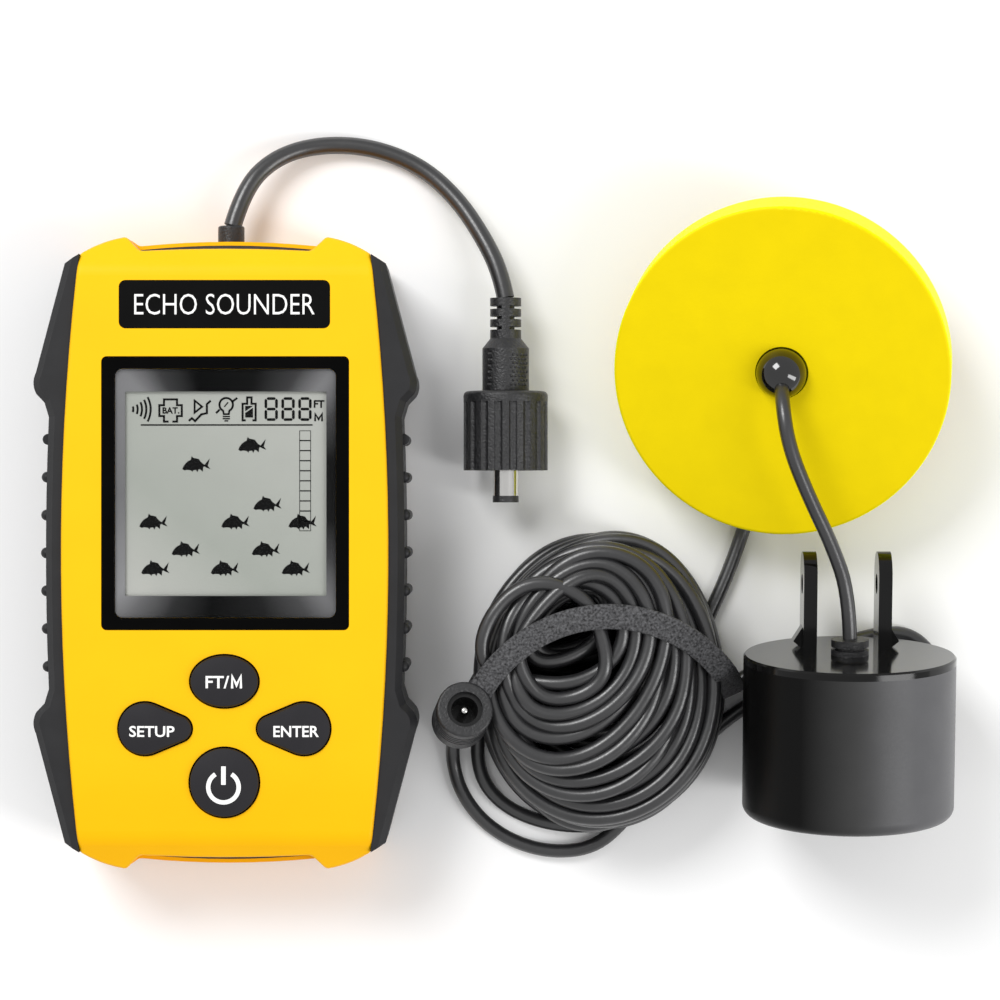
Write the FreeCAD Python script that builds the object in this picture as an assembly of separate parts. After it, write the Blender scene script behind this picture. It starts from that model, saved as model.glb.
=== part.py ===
"""Portable wired fish finder: a handset with a pigtail plug, and a sonar set with its float.

Units are millimetres. The origin is the centre of the handset's flat back, +X is to the
handset's right, +Y towards its cable end and +Z out of its screen. Everything lies on the
plane z = 0: the handset on its back, the sonar set beside it.
"""
import FreeCAD
import Part
import math
import os
from FreeCAD import Placement, Rotation, Vector

# Driving dimensions: handset case
CASE_T = 28.0            # back to front face
SPLIT_Z = 14.0           # parting plane of the two shells
WALL = 2.4
FACE_WALL = 2.6
FLOOR_T = 3.6            # rear shell's floor, thick enough for the door's channel
SIDE_MID_X = 33.9        # case side, at mid length
SIDE_END_X = 30.2        # case side, at its ends
SIDE_END_Y = 62.0
HORN_X = 20.8            # pointed corners beside each end's notch
HORN_Y = 65.8
HORN_CURVE = (25.8, 64.4)
NOTCH_FRONT = (17.8, 62.7, 63.2)    # corner x, corner y, middle y of the front shell's notch
NOTCH_REAR = (19.0, 64.4, 65.4)     # the same of the rear shell's end
CORNER_ROUND = 1.2       # outline's outward corners
NOTCH_ROUND = 2.0        # and its inward ones
EDGE_ROUND = 0.8         # front face's edge
BACK_ROUND = 1.0
FOLD_Y = 57.2            # front face starts to fall away towards each end
FOLD_END = (66.5, 22.6)  # y and z where the fall would end

# Side grips
GRIP_Z = (2.0, 27.0)
GRIP_EDGE = 1.4          # chamfer round each grip's outer faces
GRIP_CORNER = (33.3, 60.1)
GRIP_PEAK = ((39.3, 37.4), (39.8, 35.4), (39.2, 33.0))
GRIP_WAIST = ((37.5, 31.2), (36.6, 28.2))
GRIP_WAIST_MID_X = 37.2
RIB_PITCH = 7.87
RIB_R = 1.15
RIB_COUNT = 7

# Front openings
NAMEPLATE = (0.0, 51.5, 43.5, 9.8, 1.3)      # centre x, centre y, width, height, corner
BEZEL = (0.15, 12.4, 51.0, 56.4, 1.0)
WINDOW = (0.15, 12.4, 45.9, 51.7, 1.7)
LCD_VIEW = (0.2, 12.3, 41.7, 42.35, 0.3)
LCD_PANEL = (0.2, 12.3, 44.0, 46.0, 0.4)
BEZEL_DEPTH = 1.5
BEZEL_SINK = 0.15

# Keys
FTM_KEY = (0.0, -26.5, 7.0, 5.35)            # centre and half axes
POWER_KEY = (0.0, -47.4, 7.1)                # centre and radius
SIDE_KEY = (16.45, -36.3, 5.4, 9.5, 2.7)     # big end x, y, radius, small end x, radius
KEY_GAP = 0.35
KEY_TOP = CASE_T + 1.3
KEY_TRAVEL = 0.7
KEY_ROUND = 1.0
KEY_DOME_R = 48.0
KEY_STEM_R = 1.6
SWITCH_SIDE = 6.0
SWITCH_H = (1.2, 2.0)    # body's and button's tops above the board

# Board and batteries
BOARD_Z = (18.4, 20.0)
BOARD = (-28.0, 28.0, -51.5, 48.0)
CASE_SCREW = (26.0, 56.0)
BOARD_SCREWS = ((25.0, 44.5), (-25.0, 44.5), (25.0, -48.0), (-25.0, -48.0))
LCD_UNDER = 23.9
BACKLIGHT_UNDER = 21.6
CHIPS = ((8, 22, 12, 12), (-9, 12, 8, 6), (20, 8, 5, 9), (-20, 38, 7, 5), (14, 40, 6, 6))   # centre, size
CHIP_T = 1.3
BUZZER = (-16.0, 28.0, 6.0, 13.9)    # centre x, y, radius and lower face
CELL_R = 5.25
CELL_LENGTH = 44.5
CELL_PITCH = 11.0
CELL_Z = 9.25
CELL_NUB = (1.9, 0.9)    # radius and height of a cell's raised end
CONTACT_T = 0.4
CONTACT_Z = (5.0, 13.5)
CONTACT_HALF_W = 4.6
TRAY = (-23.8, 23.8, -52.9, -1.6, FLOOR_T, 16.2)
TRAY_WALL = 1.3
DOOR = (-23.0, 23.0, -62.6, -1.0, 0.15, 1.95)
DOOR_GAP = 0.25
TONGUE = 0.8

# Fasteners: head radius, shank radius
CASE_SCREW_R = (2.6, 1.2)
BOARD_SCREW_R = (2.0, 0.95)

# Gland, pigtail and plug
GLAND_Z = 8.5
GLAND_R = 2.8
GLAND_END_Y = 69.1
PIGTAIL_D = 3.8
LEAD_WIRE_D = 1.1
PLUG_X = 58.2
PLUG_START_Y = 53.8
NUT_R = 8.95
NUT_Z = (19.75, 36.5)    # along the plug
NUT_FLUTES = 18
BARREL_R = 2.75
BARREL_ROOT_R = 2.25     # where the moulding holds it
BARREL_BORE_R = 1.9
CONTACT_R = 1.25
BARREL_Z = (30.0, 33.0, 41.9)
PIGTAIL_ROUTE = (
    (0.3, 69.1, 8.5), (2.6, 77.2, 7.6), (9.0, 84.0, 5.0), (18.2, 87.0, 2.6), (29.4, 86.6, 2.0),
    (40.2, 82.4, 2.2), (48.0, 75.2, 4.0), (53.6, 66.6, 6.6), (57.1, 59.2, 8.4), (58.2, 53.8, 8.95),
)

# Sonar set: transducer
TRANSDUCER_R = 22.0
TRANSDUCER_H = 34.0
CAP_T = 1.6
TRANSDUCER_WALL = 2.2
EAR_X = 7.8
EAR_T = 2.8
EAR_W = 10.0
EAR_H = 20.0
EAR_BACK = 10.0          # ears stand this far behind the cable gland
EAR_HOLE_R = 2.1
EAR_HOLE_H = 13.2
TRANSDUCER_TILT = 8.0    # its top end rests on a loop of cable
TRANSDUCER_BASE = Vector(129.5, -54.67, 21.52)

# Sonar set: float
FLOAT_R = 35.0
FLOAT_T = 12.0
FLOAT_TILT = 17.0
FLOAT_LEAN = (-0.45, -0.893)
FLOAT_FACE = Vector(115.5, 37.4, 24.9)
BEAD_R = 5.25
BEAD_OUT = 0.5
BEAD_GAP = 0.3

# Sonar cable, 3 mm, and its hank
CABLE_D = 3.0
LEAD_ROUTE = (
    (115.4, 37.3, 25.4), (115.0, 30.6, 33.0), (116.4, 21.6, 33.4), (120.6, 11.6, 31.4),
    (125.6, 1.6, 29.4), (129.1, -8.2, 28.0), (129.5, -17.8, 26.6),
)
REAR_ROUTE = (
    (115.4, 37.3, 25.4), (117.7, 41.8, 8.6), (120.9, 48.1, 1.5), (124.5, 57.5, 1.5), (132.5, 63.0, 1.5),
    (141.5, 60.5, 1.5), (146.0, 52.0, 1.5), (143.0, 42.5, 1.5), (135.0, 36.0, 1.5), (126.0, 31.0, 1.5),
    (118.0, 24.5, 1.5), (112.5, 15.5, 1.5), (109.3, 5.0, 1.5), (105.5, -5.5, 1.5), (100.6, -16.0, 1.6),
)
STRAY_ROUTE = (
    (99.5, -41.0, 1.6), (108.5, -33.5, 1.5), (118.5, -28.6, 1.5), (130.0, -27.0, 1.5), (138.0, -34.2, 1.5),
    (144.9, -34.6, 1.5), (150.0, -29.8, 1.5), (150.0, -22.6, 1.5), (144.9, -17.5, 1.5), (137.7, -17.5, 1.5),
    (129.0, -20.3, 1.5), (119.0, -22.2, 1.5), (109.5, -26.5, 1.5), (101.0, -32.5, 1.6),
)
TAIL_ROUTE = (
    (47.8, -37.1, 11.24), (47.34, -38.25, 6.8), (46.9, -41.2, 3.3), (46.9, -45.4, 1.5), (48.6, -51.5, 1.5),
    (53.0, -57.6, 1.5), (59.8, -62.2, 1.5), (68.0, -64.4, 1.5), (76.5, -63.6, 1.6), (82.5, -59.0, 2.5),
)
HANK_CENTRE = (79.3, -28.7)
HANK_HALF = (24.3, 31.0)
HANK_Z = (1.0, 31.0)
HANK_ROUND = (5.0, 9.0)
HANK_HOLE = (71.0, -12.5, 5.0)
STRAP_T = 0.9
STRAP_W = 5.2
STRAP_ARC = (79.5, -43.5, 30.5)     # the strap's path seen from above: centre x, y and radius

# Socket on the sonar cable's far end
SOCKET_R = 5.85
SOCKET_LENGTH = 13.0
SOCKET_RELIEF = 7.0
SOCKET_AXIS = Vector(0.10, 0.25, 0.963)
SOCKET_MOUTH = Vector(49.8, -32.1, 30.5)
SOCKET_HOLE_R = 2.8
SOCKET_HOLE_DEPTH = 9.5
SLEEVE_R = 3.7

X_AXIS = Vector(1, 0, 0)
Y_AXIS = Vector(0, 1, 0)
Z_AXIS = Vector(0, 0, 1)


def face_of(edges):
    return Part.Face(Part.Wire(edges))


def line(a, b):
    return Part.LineSegment(a, b).toShape()


def arc(a, b, c):
    return Part.Arc(a, b, c).toShape()


def block(x0, x1, y0, y1, z0, z1):
    return Part.makeBox(x1 - x0, y1 - y0, z1 - z0, Vector(x0, y0, z0))


def post(radius, z0, z1, x=0.0, y=0.0):
    return Part.makeCylinder(radius, z1 - z0, Vector(x, y, z0))


def ring(outer, inner, z0, z1, x=0.0, y=0.0):
    return post(outer, z0, z1, x, y).cut(post(inner, z0, z1, x, y))


def cone(r0, r1, z0, z1):
    return Part.makeCone(r0, r1, z1 - z0, Vector(0, 0, z0))


def rounded_plate(spec, z0, z1, grow=0.0):
    """A plate with rounded corners; spec is centre x, centre y, width, height and corner radius."""
    x, y, width, height, corner = spec
    half_w = width / 2 + grow
    half_h = height / 2 + grow
    plate = block(x - half_w, x + half_w, y - half_h, y + half_h, z0, z1)
    upright = [e for e in plate.Edges if abs(e.tangentAt(e.FirstParameter).z) > 0.9]
    return plate.makeFillet(corner + grow, upright)


def mirrored(shape):
    return shape.mirror(Vector(0, 0, 0), X_AXIS)


def joined(shapes):
    whole = shapes[0].fuse(list(shapes[1:]))
    return whole.removeSplitter()


def case_face(notch):
    """The case seen from the front. notch gives the end's corner x, corner y and middle y."""
    corner_x, corner_y, middle_y = notch
    edges = []
    for s in (1, -1):
        side_end = Vector(s * SIDE_END_X, s * SIDE_END_Y, 0)
        horn = Vector(s * HORN_X, s * HORN_Y, 0)
        corner = Vector(s * corner_x, s * corner_y, 0)
        far_corner = Vector(-s * corner_x, s * corner_y, 0)
        far_horn = Vector(-s * HORN_X, s * HORN_Y, 0)
        far_end = Vector(-s * SIDE_END_X, s * SIDE_END_Y, 0)
        bulge = Vector(s * HORN_CURVE[0], s * HORN_CURVE[1], 0)
        far_bulge = Vector(-s * HORN_CURVE[0], s * HORN_CURVE[1], 0)
        edges.append(arc(Vector(s * SIDE_END_X, -s * SIDE_END_Y, 0), Vector(s * SIDE_MID_X, 0, 0), side_end))
        edges.append(arc(side_end, bulge, horn))
        edges.append(line(horn, corner))
        edges.append(arc(corner, Vector(0, s * middle_y, 0), far_corner))
        edges.append(line(far_corner, far_horn))
        edges.append(arc(far_horn, far_bulge, far_end))
    face = face_of(edges).makeOffset2D(-CORNER_ROUND).makeOffset2D(CORNER_ROUND)
    return face.makeOffset2D(NOTCH_ROUND).makeOffset2D(-NOTCH_ROUND)


def case_prism(notch, inset, z0, z1):
    face = case_face(notch)
    if inset:
        face = face.makeOffset2D(-inset)
    face.translate(Vector(0, 0, z0))
    return face.extrude(Vector(0, 0, z1 - z0))


def side_profile(inset, z0):
    """The case seen from the side, above z0: flat in the middle, falling away at both ends."""
    top = CASE_T - inset
    fold = FOLD_Y - inset * 0.3
    end_y = FOLD_END[0]
    end_z = FOLD_END[1] - inset
    blend_y = fold + 3.4
    blend_z = top + (end_z - top) * 0.9 * (blend_y - fold - 1.4) / (end_y - fold)
    x0 = -SIDE_MID_X - 5
    points = [Vector(x0, s * y, z) for s, y, z in (
        (-1, end_y, z0), (-1, end_y, end_z), (-1, blend_y, blend_z), (-1, fold, top),
        (1, fold, top), (1, blend_y, blend_z), (1, end_y, end_z), (1, end_y, z0))]
    lower = Vector(x0, -fold - 1.9, top - 0.28)
    upper = Vector(x0, fold + 1.9, top - 0.28)
    edges = [
        line(points[0], points[1]),
        line(points[1], points[2]),
        arc(points[2], lower, points[3]),
        line(points[3], points[4]),
        arc(points[4], upper, points[5]),
        line(points[5], points[6]),
        line(points[6], points[7]),
        line(points[7], points[0]),
    ]
    return face_of(edges).extrude(Vector(2 * (SIDE_MID_X + 5), 0, 0))


def ellipse_prism(spec, grow, z0, z1):
    x, y, half_x, half_y = spec
    curve = Part.Ellipse(Vector(x, y, z0), half_x + grow, half_y + grow)
    return face_of([curve.toShape()]).extrude(Vector(0, 0, z1 - z0))


def drop_prism(spec, grow, z0, z1):
    """A drop outline: a big round end joined by tangents to a small one, on the -X side."""
    big_x, y, big_r, small_x, small_r = spec
    big_r += grow
    small_r += grow
    gap = big_x - small_x
    lean = math.asin((big_r - small_r) / gap)
    up = Vector(math.sin(lean), math.cos(lean), 0)
    down = Vector(up.x, -up.y, 0)
    big = Vector(-big_x, y, z0)
    small = Vector(-small_x, y, z0)
    edges = [
        line(big + up * big_r, small + up * small_r),
        arc(small + up * small_r, small + X_AXIS * small_r, small + down * small_r),
        line(small + down * small_r, big + down * big_r),
        arc(big + down * big_r, big - X_AXIS * big_r, big + up * big_r),
    ]
    return face_of(edges).extrude(Vector(0, 0, z1 - z0))


def key_prism(name, grow, z0, z1):
    if name == "ftm":
        return ellipse_prism(FTM_KEY, grow, z0, z1)
    if name == "power":
        return post(POWER_KEY[2] + grow, z0, z1, POWER_KEY[0], POWER_KEY[1])
    drop = drop_prism(SIDE_KEY, grow, z0, z1)
    return drop if name == "setup" else mirrored(drop)


def key_centre(name):
    mid_x = 13.6
    return {
        "ftm": (FTM_KEY[0], FTM_KEY[1]),
        "power": (POWER_KEY[0], POWER_KEY[1]),
        "setup": (-mid_x, SIDE_KEY[1]),
        "enter": (mid_x, SIDE_KEY[1]),
    }[name]


KEYS = ("ftm", "setup", "enter", "power")


def screw_spots():
    x, y = CASE_SCREW
    return ((x, y), (-x, y), (x, -y), (-x, -y))


def outline_edges(solid, z0, z1):
    """Edges between z0 and z1 that go round a shell's outline: neither upright nor across its width."""
    found = []
    for edge in solid.Edges:
        box = edge.BoundBox
        upright = box.XLength < 0.01 and box.YLength < 0.01
        across = box.YLength < 0.01 and box.XLength > HORN_X
        if box.ZMin > z0 and box.ZMax < z1 and not upright and not across:
            found.append(edge)
    return found


def make_front_shell():
    shell = case_prism(NOTCH_FRONT, 0, SPLIT_Z, CASE_T).common(side_profile(0, SPLIT_Z))
    shell = shell.makeFillet(EDGE_ROUND, outline_edges(shell, SPLIT_Z + 1, CASE_T + 1))
    hollow = case_prism(NOTCH_FRONT, WALL, SPLIT_Z, CASE_T - FACE_WALL)
    shell = shell.cut(hollow.common(side_profile(FACE_WALL, SPLIT_Z)))
    under = CASE_T - FACE_WALL
    bosses = [post(3.2, SPLIT_Z, under - 0.2, x, y) for x, y in screw_spots()]
    bosses += [post(2.6, BOARD_Z[1], under + 0.5, x, y) for x, y in BOARD_SCREWS]
    shell = joined([shell] + bosses)
    cuts = [
        rounded_plate(BEZEL, CASE_T - BEZEL_DEPTH, CASE_T + 1, 0.15),
        rounded_plate(LCD_PANEL, under - 1, CASE_T, 0.2),
        rounded_plate(NAMEPLATE, CASE_T - 1.0, CASE_T + 1, 0.12),
    ]
    cuts += [key_prism(name, KEY_GAP, under - 1, CASE_T + 1) for name in KEYS]
    cuts += [post(1.25, SPLIT_Z - 1, 22.5, x, y) for x, y in screw_spots()]
    cuts += [post(1.0, BOARD_Z[1] - 1, 24.0, x, y) for x, y in BOARD_SCREWS]
    return shell.cut(cuts)


def rear_corner(s):
    """The wedge that slopes the back's end at +Y or -Y."""
    x0 = -SIDE_MID_X
    corners = [Vector(x0, s * 63.0, 0), Vector(x0, s * 66.6, 3.6), Vector(x0, s * 66.6, 0)]
    edges = [line(a, b) for a, b in zip(corners, corners[1:] + corners[:1])]
    return face_of(edges).extrude(Vector(2 * SIDE_MID_X, 0, 0))


def make_rear_shell():
    shell = case_prism(NOTCH_REAR, 0, 0, SPLIT_Z).cut([rear_corner(1), rear_corner(-1)])
    shell = shell.makeFillet(BACK_ROUND, outline_edges(shell, -1, SPLIT_Z - 1))
    shell = shell.cut(case_prism(NOTCH_REAR, WALL, FLOOR_T, SPLIT_Z + 1))
    bosses = [post(3.4, FLOOR_T - 1, SPLIT_Z, x, y) for x, y in screw_spots()]
    shell = joined([shell] + bosses)
    x0, x1, _, y1, _, z1 = DOOR
    tray_x0, tray_x1, tray_y0, tray_y1, _, _ = TRAY
    slide_x = x1 + DOOR_GAP
    slide_y = y1 + DOOR_GAP
    past_y = -70
    w = TRAY_WALL
    cuts = [
        block(x0 - DOOR_GAP, slide_x, past_y, slide_y, -1, z1 + 0.15),
        block(x0 - TONGUE - DOOR_GAP, slide_x + TONGUE, past_y, slide_y, 0.7, 1.8),
        block(tray_x0 + w, tray_x1 - w, tray_y0 + w, tray_y1 - w, 0, FLOOR_T + 1),
        Part.makeCylinder(2.4, 10, Vector(0, 58, GLAND_Z), Y_AXIS),
    ]
    cuts += [post(1.5, -1, SPLIT_Z + 1, x, y) for x, y in screw_spots()]
    cuts += [post(2.9, -1, 3.8, x, y) for x, y in screw_spots()]
    groove = case_prism(NOTCH_REAR, 0.8, SPLIT_Z - 0.8, SPLIT_Z + 1)
    groove = groove.cut(case_prism(NOTCH_REAR, 1.6, SPLIT_Z - 0.8, SPLIT_Z + 1))
    return shell.cut(cuts + [groove])


def make_case_seal():
    seal = case_prism(NOTCH_REAR, 0.85, SPLIT_Z - 0.8, SPLIT_Z)
    return seal.cut(case_prism(NOTCH_REAR, 1.55, SPLIT_Z - 0.8, SPLIT_Z))


def grip_waist_points(s):
    """The right grip's waist corners from its middle to one end; s is the end's sign."""
    return [Vector(x, s * y, GRIP_Z[0]) for x, y in reversed(GRIP_WAIST)]


def make_right_grip():
    z0, z1 = GRIP_Z
    lower = grip_waist_points(-1)
    upper = grip_waist_points(1)
    peak_lower = [Vector(x, -y, z0) for x, y in GRIP_PEAK]
    peak_upper = [Vector(x, y, z0) for x, y in GRIP_PEAK]
    corner_lower = Vector(GRIP_CORNER[0], -GRIP_CORNER[1], z0)
    corner_upper = Vector(GRIP_CORNER[0], GRIP_CORNER[1], z0)
    end_lower = Vector(SIDE_END_X, -SIDE_END_Y, z0)
    end_upper = Vector(SIDE_END_X, SIDE_END_Y, z0)
    edges = [
        line(end_lower, corner_lower),
        line(corner_lower, peak_lower[0]),
        arc(*peak_lower),
        line(peak_lower[2], lower[1]),
        line(lower[1], lower[0]),
        arc(lower[0], Vector(GRIP_WAIST_MID_X, 0, z0), upper[0]),
        line(upper[0], upper[1]),
        line(upper[1], peak_upper[2]),
        arc(*reversed(peak_upper)),
        line(peak_upper[0], corner_upper),
        line(corner_upper, end_upper),
        arc(end_upper, Vector(SIDE_MID_X, 0, z0), end_lower),
    ]
    grip = face_of(edges).extrude(Vector(0, 0, z1 - z0))
    outer = []
    for edge in grip.Edges:
        mid = edge.valueAt((edge.FirstParameter + edge.LastParameter) / 2)
        flat = edge.BoundBox.ZLength < 0.01
        inner = abs(mid.x - SIDE_MID_X) < 0.3 and edge.Length > 100
        end = abs(mid.y) > 61.0
        if flat and not inner and not end:
            outer.append(edge)
    grip = grip.makeChamfer(GRIP_EDGE, outer)
    ribs = []
    for i in range(RIB_COUNT):
        y = (i - (RIB_COUNT - 1) / 2) * RIB_PITCH
        x = GRIP_WAIST_MID_X - 0.0006 * y * y + 0.1
        ribs.append(post(RIB_R, z0 + 3.2, z1 - 3.2, x, y))
        ribs += [Part.makeSphere(RIB_R, Vector(x, y, z)) for z in (z0 + 3.2, z1 - 3.2)]
    return joined([grip] + ribs)


def make_key(name):
    z_under = CASE_T - FACE_WALL
    cap = key_prism(name, 0, z_under - 1.0, KEY_TOP)
    top = [e for e in cap.Edges if e.BoundBox.ZMin > KEY_TOP - 0.01]
    cap = cap.makeFillet(KEY_ROUND, top)
    x, y = key_centre(name)
    dome = Part.makeSphere(KEY_DOME_R, Vector(x, y, KEY_TOP - KEY_DOME_R))
    cap = cap.common(dome)
    flange = key_prism(name, 1.2, z_under - 1.6, z_under - 0.4)
    stem_z = BOARD_Z[1] + SWITCH_H[1] + KEY_TRAVEL + 0.1
    stem = post(KEY_STEM_R, stem_z, z_under - 1.0, x, y)
    return joined([cap, flange, stem])


def make_tact_switches():
    switches = []
    half = SWITCH_SIDE / 2
    board = BOARD_Z[1]
    for name in KEYS:
        x, y = key_centre(name)
        body = block(x - half, x + half, y - half, y + half, board, board + SWITCH_H[0])
        switches.append(body.fuse(post(KEY_STEM_R, board + SWITCH_H[0], board + SWITCH_H[1], x, y)))
    return Part.makeCompound(switches)


def make_case_screws():
    screws = []
    head_r, shank_r = CASE_SCREW_R
    long = 1.8
    thin = 0.35
    for x, y in screw_spots():
        head = post(head_r, 1.6, 3.8, x, y)
        slot = block(x - long, x + long, y - thin, y + thin, 1, 2.4)
        cross = block(x - thin, x + thin, y - long, y + long, 1, 2.4)
        screws.append(joined([head, post(shank_r, 3.8, 22.0, x, y)]).cut([slot, cross]))
    return Part.makeCompound(screws)


def make_board_screws():
    screws = []
    head_r, shank_r = BOARD_SCREW_R
    for x, y in BOARD_SCREWS:
        head = post(head_r, BOARD_Z[0] - 1.4, BOARD_Z[0], x, y)
        screws.append(joined([head, post(shank_r, BOARD_Z[0], 23.8, x, y)]))
    return Part.makeCompound(screws)


def make_main_board():
    board = block(*BOARD, *BOARD_Z)
    return board.cut([post(1.0, BOARD_Z[0] - 1, BOARD_Z[1] + 1, x, y) for x, y in BOARD_SCREWS])


def make_board_chips():
    """Packages on the board's rear side, beyond the battery tray."""
    z1 = BOARD_Z[0]
    chips = []
    for x, y, width, height in CHIPS:
        half_w = width / 2
        half_h = height / 2
        chips.append(block(x - half_w, x + half_w, y - half_h, y + half_h, z1 - CHIP_T, z1))
    return Part.makeCompound(chips)


def make_zebra_strips():
    x, y, width, height, _ = LCD_PANEL
    half_w = width / 2 - 2
    strips = []
    for s in (1, -1):
        mid = y + s * (height / 2 - 1.6)
        strips.append(block(x - half_w, x + half_w, mid - 1.1, mid + 1.1, BOARD_Z[1], LCD_UNDER))
    return Part.makeCompound(strips)


def make_backlight():
    x, y, width, height, _ = LCD_PANEL
    half_w = width / 2 - 1
    half_h = height / 2 - 3.2
    return block(x - half_w, x + half_w, y - half_h, y + half_h, BACKLIGHT_UNDER, LCD_UNDER)


def make_battery_tray():
    x0, x1, y0, y1, z0, z1 = TRAY
    w = TRAY_WALL
    return block(*TRAY).cut(block(x0 + w, x1 - w, y0 + w, y1 - w, z0 - 1, z1 - 1.2))


def cell_xs():
    return [(i - 1.5) * CELL_PITCH for i in range(4)]


def cell_span(i):
    """Where a cell's body starts and ends; neighbours face opposite ways."""
    middle = (TRAY[2] + TRAY[3]) / 2
    shift = 1.2 if i % 2 else -1.2
    return middle + shift - CELL_LENGTH / 2, middle + shift + CELL_LENGTH / 2


def make_cell(i):
    x = cell_xs()[i]
    y0, y1 = cell_span(i)
    up = i % 2 == 1
    nub_r, nub = CELL_NUB
    body = Part.makeCylinder(CELL_R, y1 - y0 - nub, Vector(x, y0 if up else y0 + nub, CELL_Z), Y_AXIS)
    tip = Part.makeCylinder(nub_r, nub, Vector(x, y1 - nub if up else y0, CELL_Z), Y_AXIS)
    return body.fuse(tip)


def contact_y(at_lower_wall):
    """Where a contact plate's lower face is, on the tray's lower or upper wall."""
    return TRAY[2] + TRAY_WALL if at_lower_wall else TRAY[3] - TRAY_WALL - CONTACT_T


def contact_plate(x, y):
    return block(x - CONTACT_HALF_W, x + CONTACT_HALF_W, y, y + CONTACT_T, *CONTACT_Z)


def make_battery_springs():
    """One compressed spring at each cell's flat end, drawn as its outer shape."""
    springs = []
    for i, x in enumerate(cell_xs()):
        y0, y1 = cell_span(i)
        up = i % 2 == 1
        plate_y = contact_y(up)
        start = plate_y + CONTACT_T if up else y1
        end = y0 if up else plate_y
        radii = (3.6, 2.4) if up else (2.4, 3.6)
        springs.append(contact_plate(x, plate_y))
        springs.append(Part.makeCone(*radii, end - start, Vector(x, start, CELL_Z), Y_AXIS))
    return Part.makeCompound(springs)


def make_battery_plates():
    """One stud plate at each cell's raised end."""
    plates = []
    for i, x in enumerate(cell_xs()):
        y0, y1 = cell_span(i)
        up = i % 2 == 1
        plate_y = contact_y(not up)
        start = y1 if up else plate_y + CONTACT_T
        end = plate_y if up else y0
        plates.append(contact_plate(x, plate_y))
        plates.append(Part.makeCylinder(2.2, end - start, Vector(x, start, CELL_Z), Y_AXIS))
    return Part.makeCompound(plates)


def make_battery_door():
    x0, x1, y0, y1, z0, z1 = DOOR
    door = block(x0, x1, y0, y1, z0, z1)
    tongues = block(x0 - TONGUE, x1 + TONGUE, y0 + 4, y1 - 0.5, 0.95, 1.6)
    grip_lines = [block(-9, 9, y, y + 0.9, z0 - 1, z0 + 0.6) for y in (-56.0, -53.8, -51.6, -49.4)]
    return joined([door, tongues]).cut(grip_lines)


def make_cable_gland():
    inside = Part.makeCylinder(3.7, 1.7, Vector(0, 61.2, GLAND_Z), Y_AXIS)
    neck = Part.makeCylinder(2.35, 3.0, Vector(0, 62.8, GLAND_Z), Y_AXIS)
    collar = Part.makeCylinder(GLAND_R, GLAND_END_Y - 65.4, Vector(0, 65.4, GLAND_Z), Y_AXIS)
    rim = [e for e in collar.Edges if e.BoundBox.YMin > GLAND_END_Y - 0.01]
    return joined([inside, neck, collar.makeFillet(0.5, rim)])


def tube_wire(points):
    """Straight runs joined by tangent arcs, each as large as its two runs allow."""
    edges = []
    radii = []
    last = points[0]
    for before, corner, after in zip(points, points[1:], points[2:]):
        run_in = corner - before
        run_out = after - corner
        half_turn = run_in.getAngle(run_out) / 2
        back = 0.45 * min(run_in.Length, run_out.Length)
        radii.append(back / math.tan(half_turn))
        unit_in = Vector(run_in).normalize()
        unit_out = Vector(run_out).normalize()
        start = corner - unit_in * back
        end = corner + unit_out * back
        inward = Vector(unit_out - unit_in).normalize()
        bulge = radii[-1] * (1 / math.cos(half_turn) - 1)
        edges.append(line(last, start))
        edges.append(arc(start, corner + inward * bulge, end))
        last = end
    edges.append(line(last, points[-1]))
    return Part.Wire(edges), radii


def make_tube(name, route, diameter):
    points = [Vector(*p) for p in route]
    wire, radii = tube_wire(points)
    first = Vector(points[1] - points[0])
    section = Part.Wire([Part.Circle(points[0], first, diameter / 2).toShape()])
    tube = wire.makePipeShell([section], True, False)
    wanted = math.pi * diameter ** 2 / 4 * wire.Length
    print(f"{name}: {wire.Length:.1f} mm, radii {min(radii):.1f} to {max(radii):.1f} mm, "
          f"volume {tube.Volume / wanted:.4f} of section times length")
    return tube


def along_plug(shape):
    """From the plug's own frame, where +Z points to its tip, to its place."""
    shape.Placement = Placement(Vector(PLUG_X, PLUG_START_Y, NUT_R), Rotation(X_AXIS, 90))
    return shape


def make_plug_moulding():
    """Slotted strain relief, flared body with thumb ribs, then a neck and nose inside the nut."""
    body = joined([
        post(3.3, 0, 8.6), cone(3.3, 4.95, 8.6, 10.7), post(4.95, 10.7, 19.6), post(4.3, 19.6, 22.4),
        post(6.1, 22.4, 24.4), post(3.6, 24.4, BARREL_Z[1])])
    slots = []
    for z in (1.7, 3.9, 6.1):
        slots.append(block(0.8, 5, -5, 5, z, z + 0.65))
        slots.append(block(-5, -0.8, -5, 5, z, z + 0.65))
    slots = [slot.cut(post(1.9, -1, 9)) for slot in slots]
    ribs = []
    for i in range(6):
        for y in (3.6, -3.6):
            ribs.append(Part.makeCylinder(0.45, 3.4, Vector(-5.2, y, 11.7 + 1.3 * i), X_AXIS))
    bore = post(BARREL_ROOT_R, BARREL_Z[0], BARREL_Z[1] + 1)
    return body.cut(slots + ribs + [bore])


def make_coupling_nut():
    z0, z1 = NUT_Z
    nut = post(NUT_R, z0, z1)
    rim = [e for e in nut.Edges if e.BoundBox.ZMax < z0 + 0.01]
    nut = nut.makeFillet(1.0, rim)
    reach = NUT_R + 0.45
    flutes = []
    for i in range(NUT_FLUTES):
        angle = 2 * math.pi * i / NUT_FLUTES
        flutes.append(post(1.0, 22.0, 40.0, reach * math.cos(angle), reach * math.sin(angle)))
    hollow = [post(4.45, 19, 23), post(6.5, 22.2, 37)]
    return nut.cut(flutes + hollow)


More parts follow.
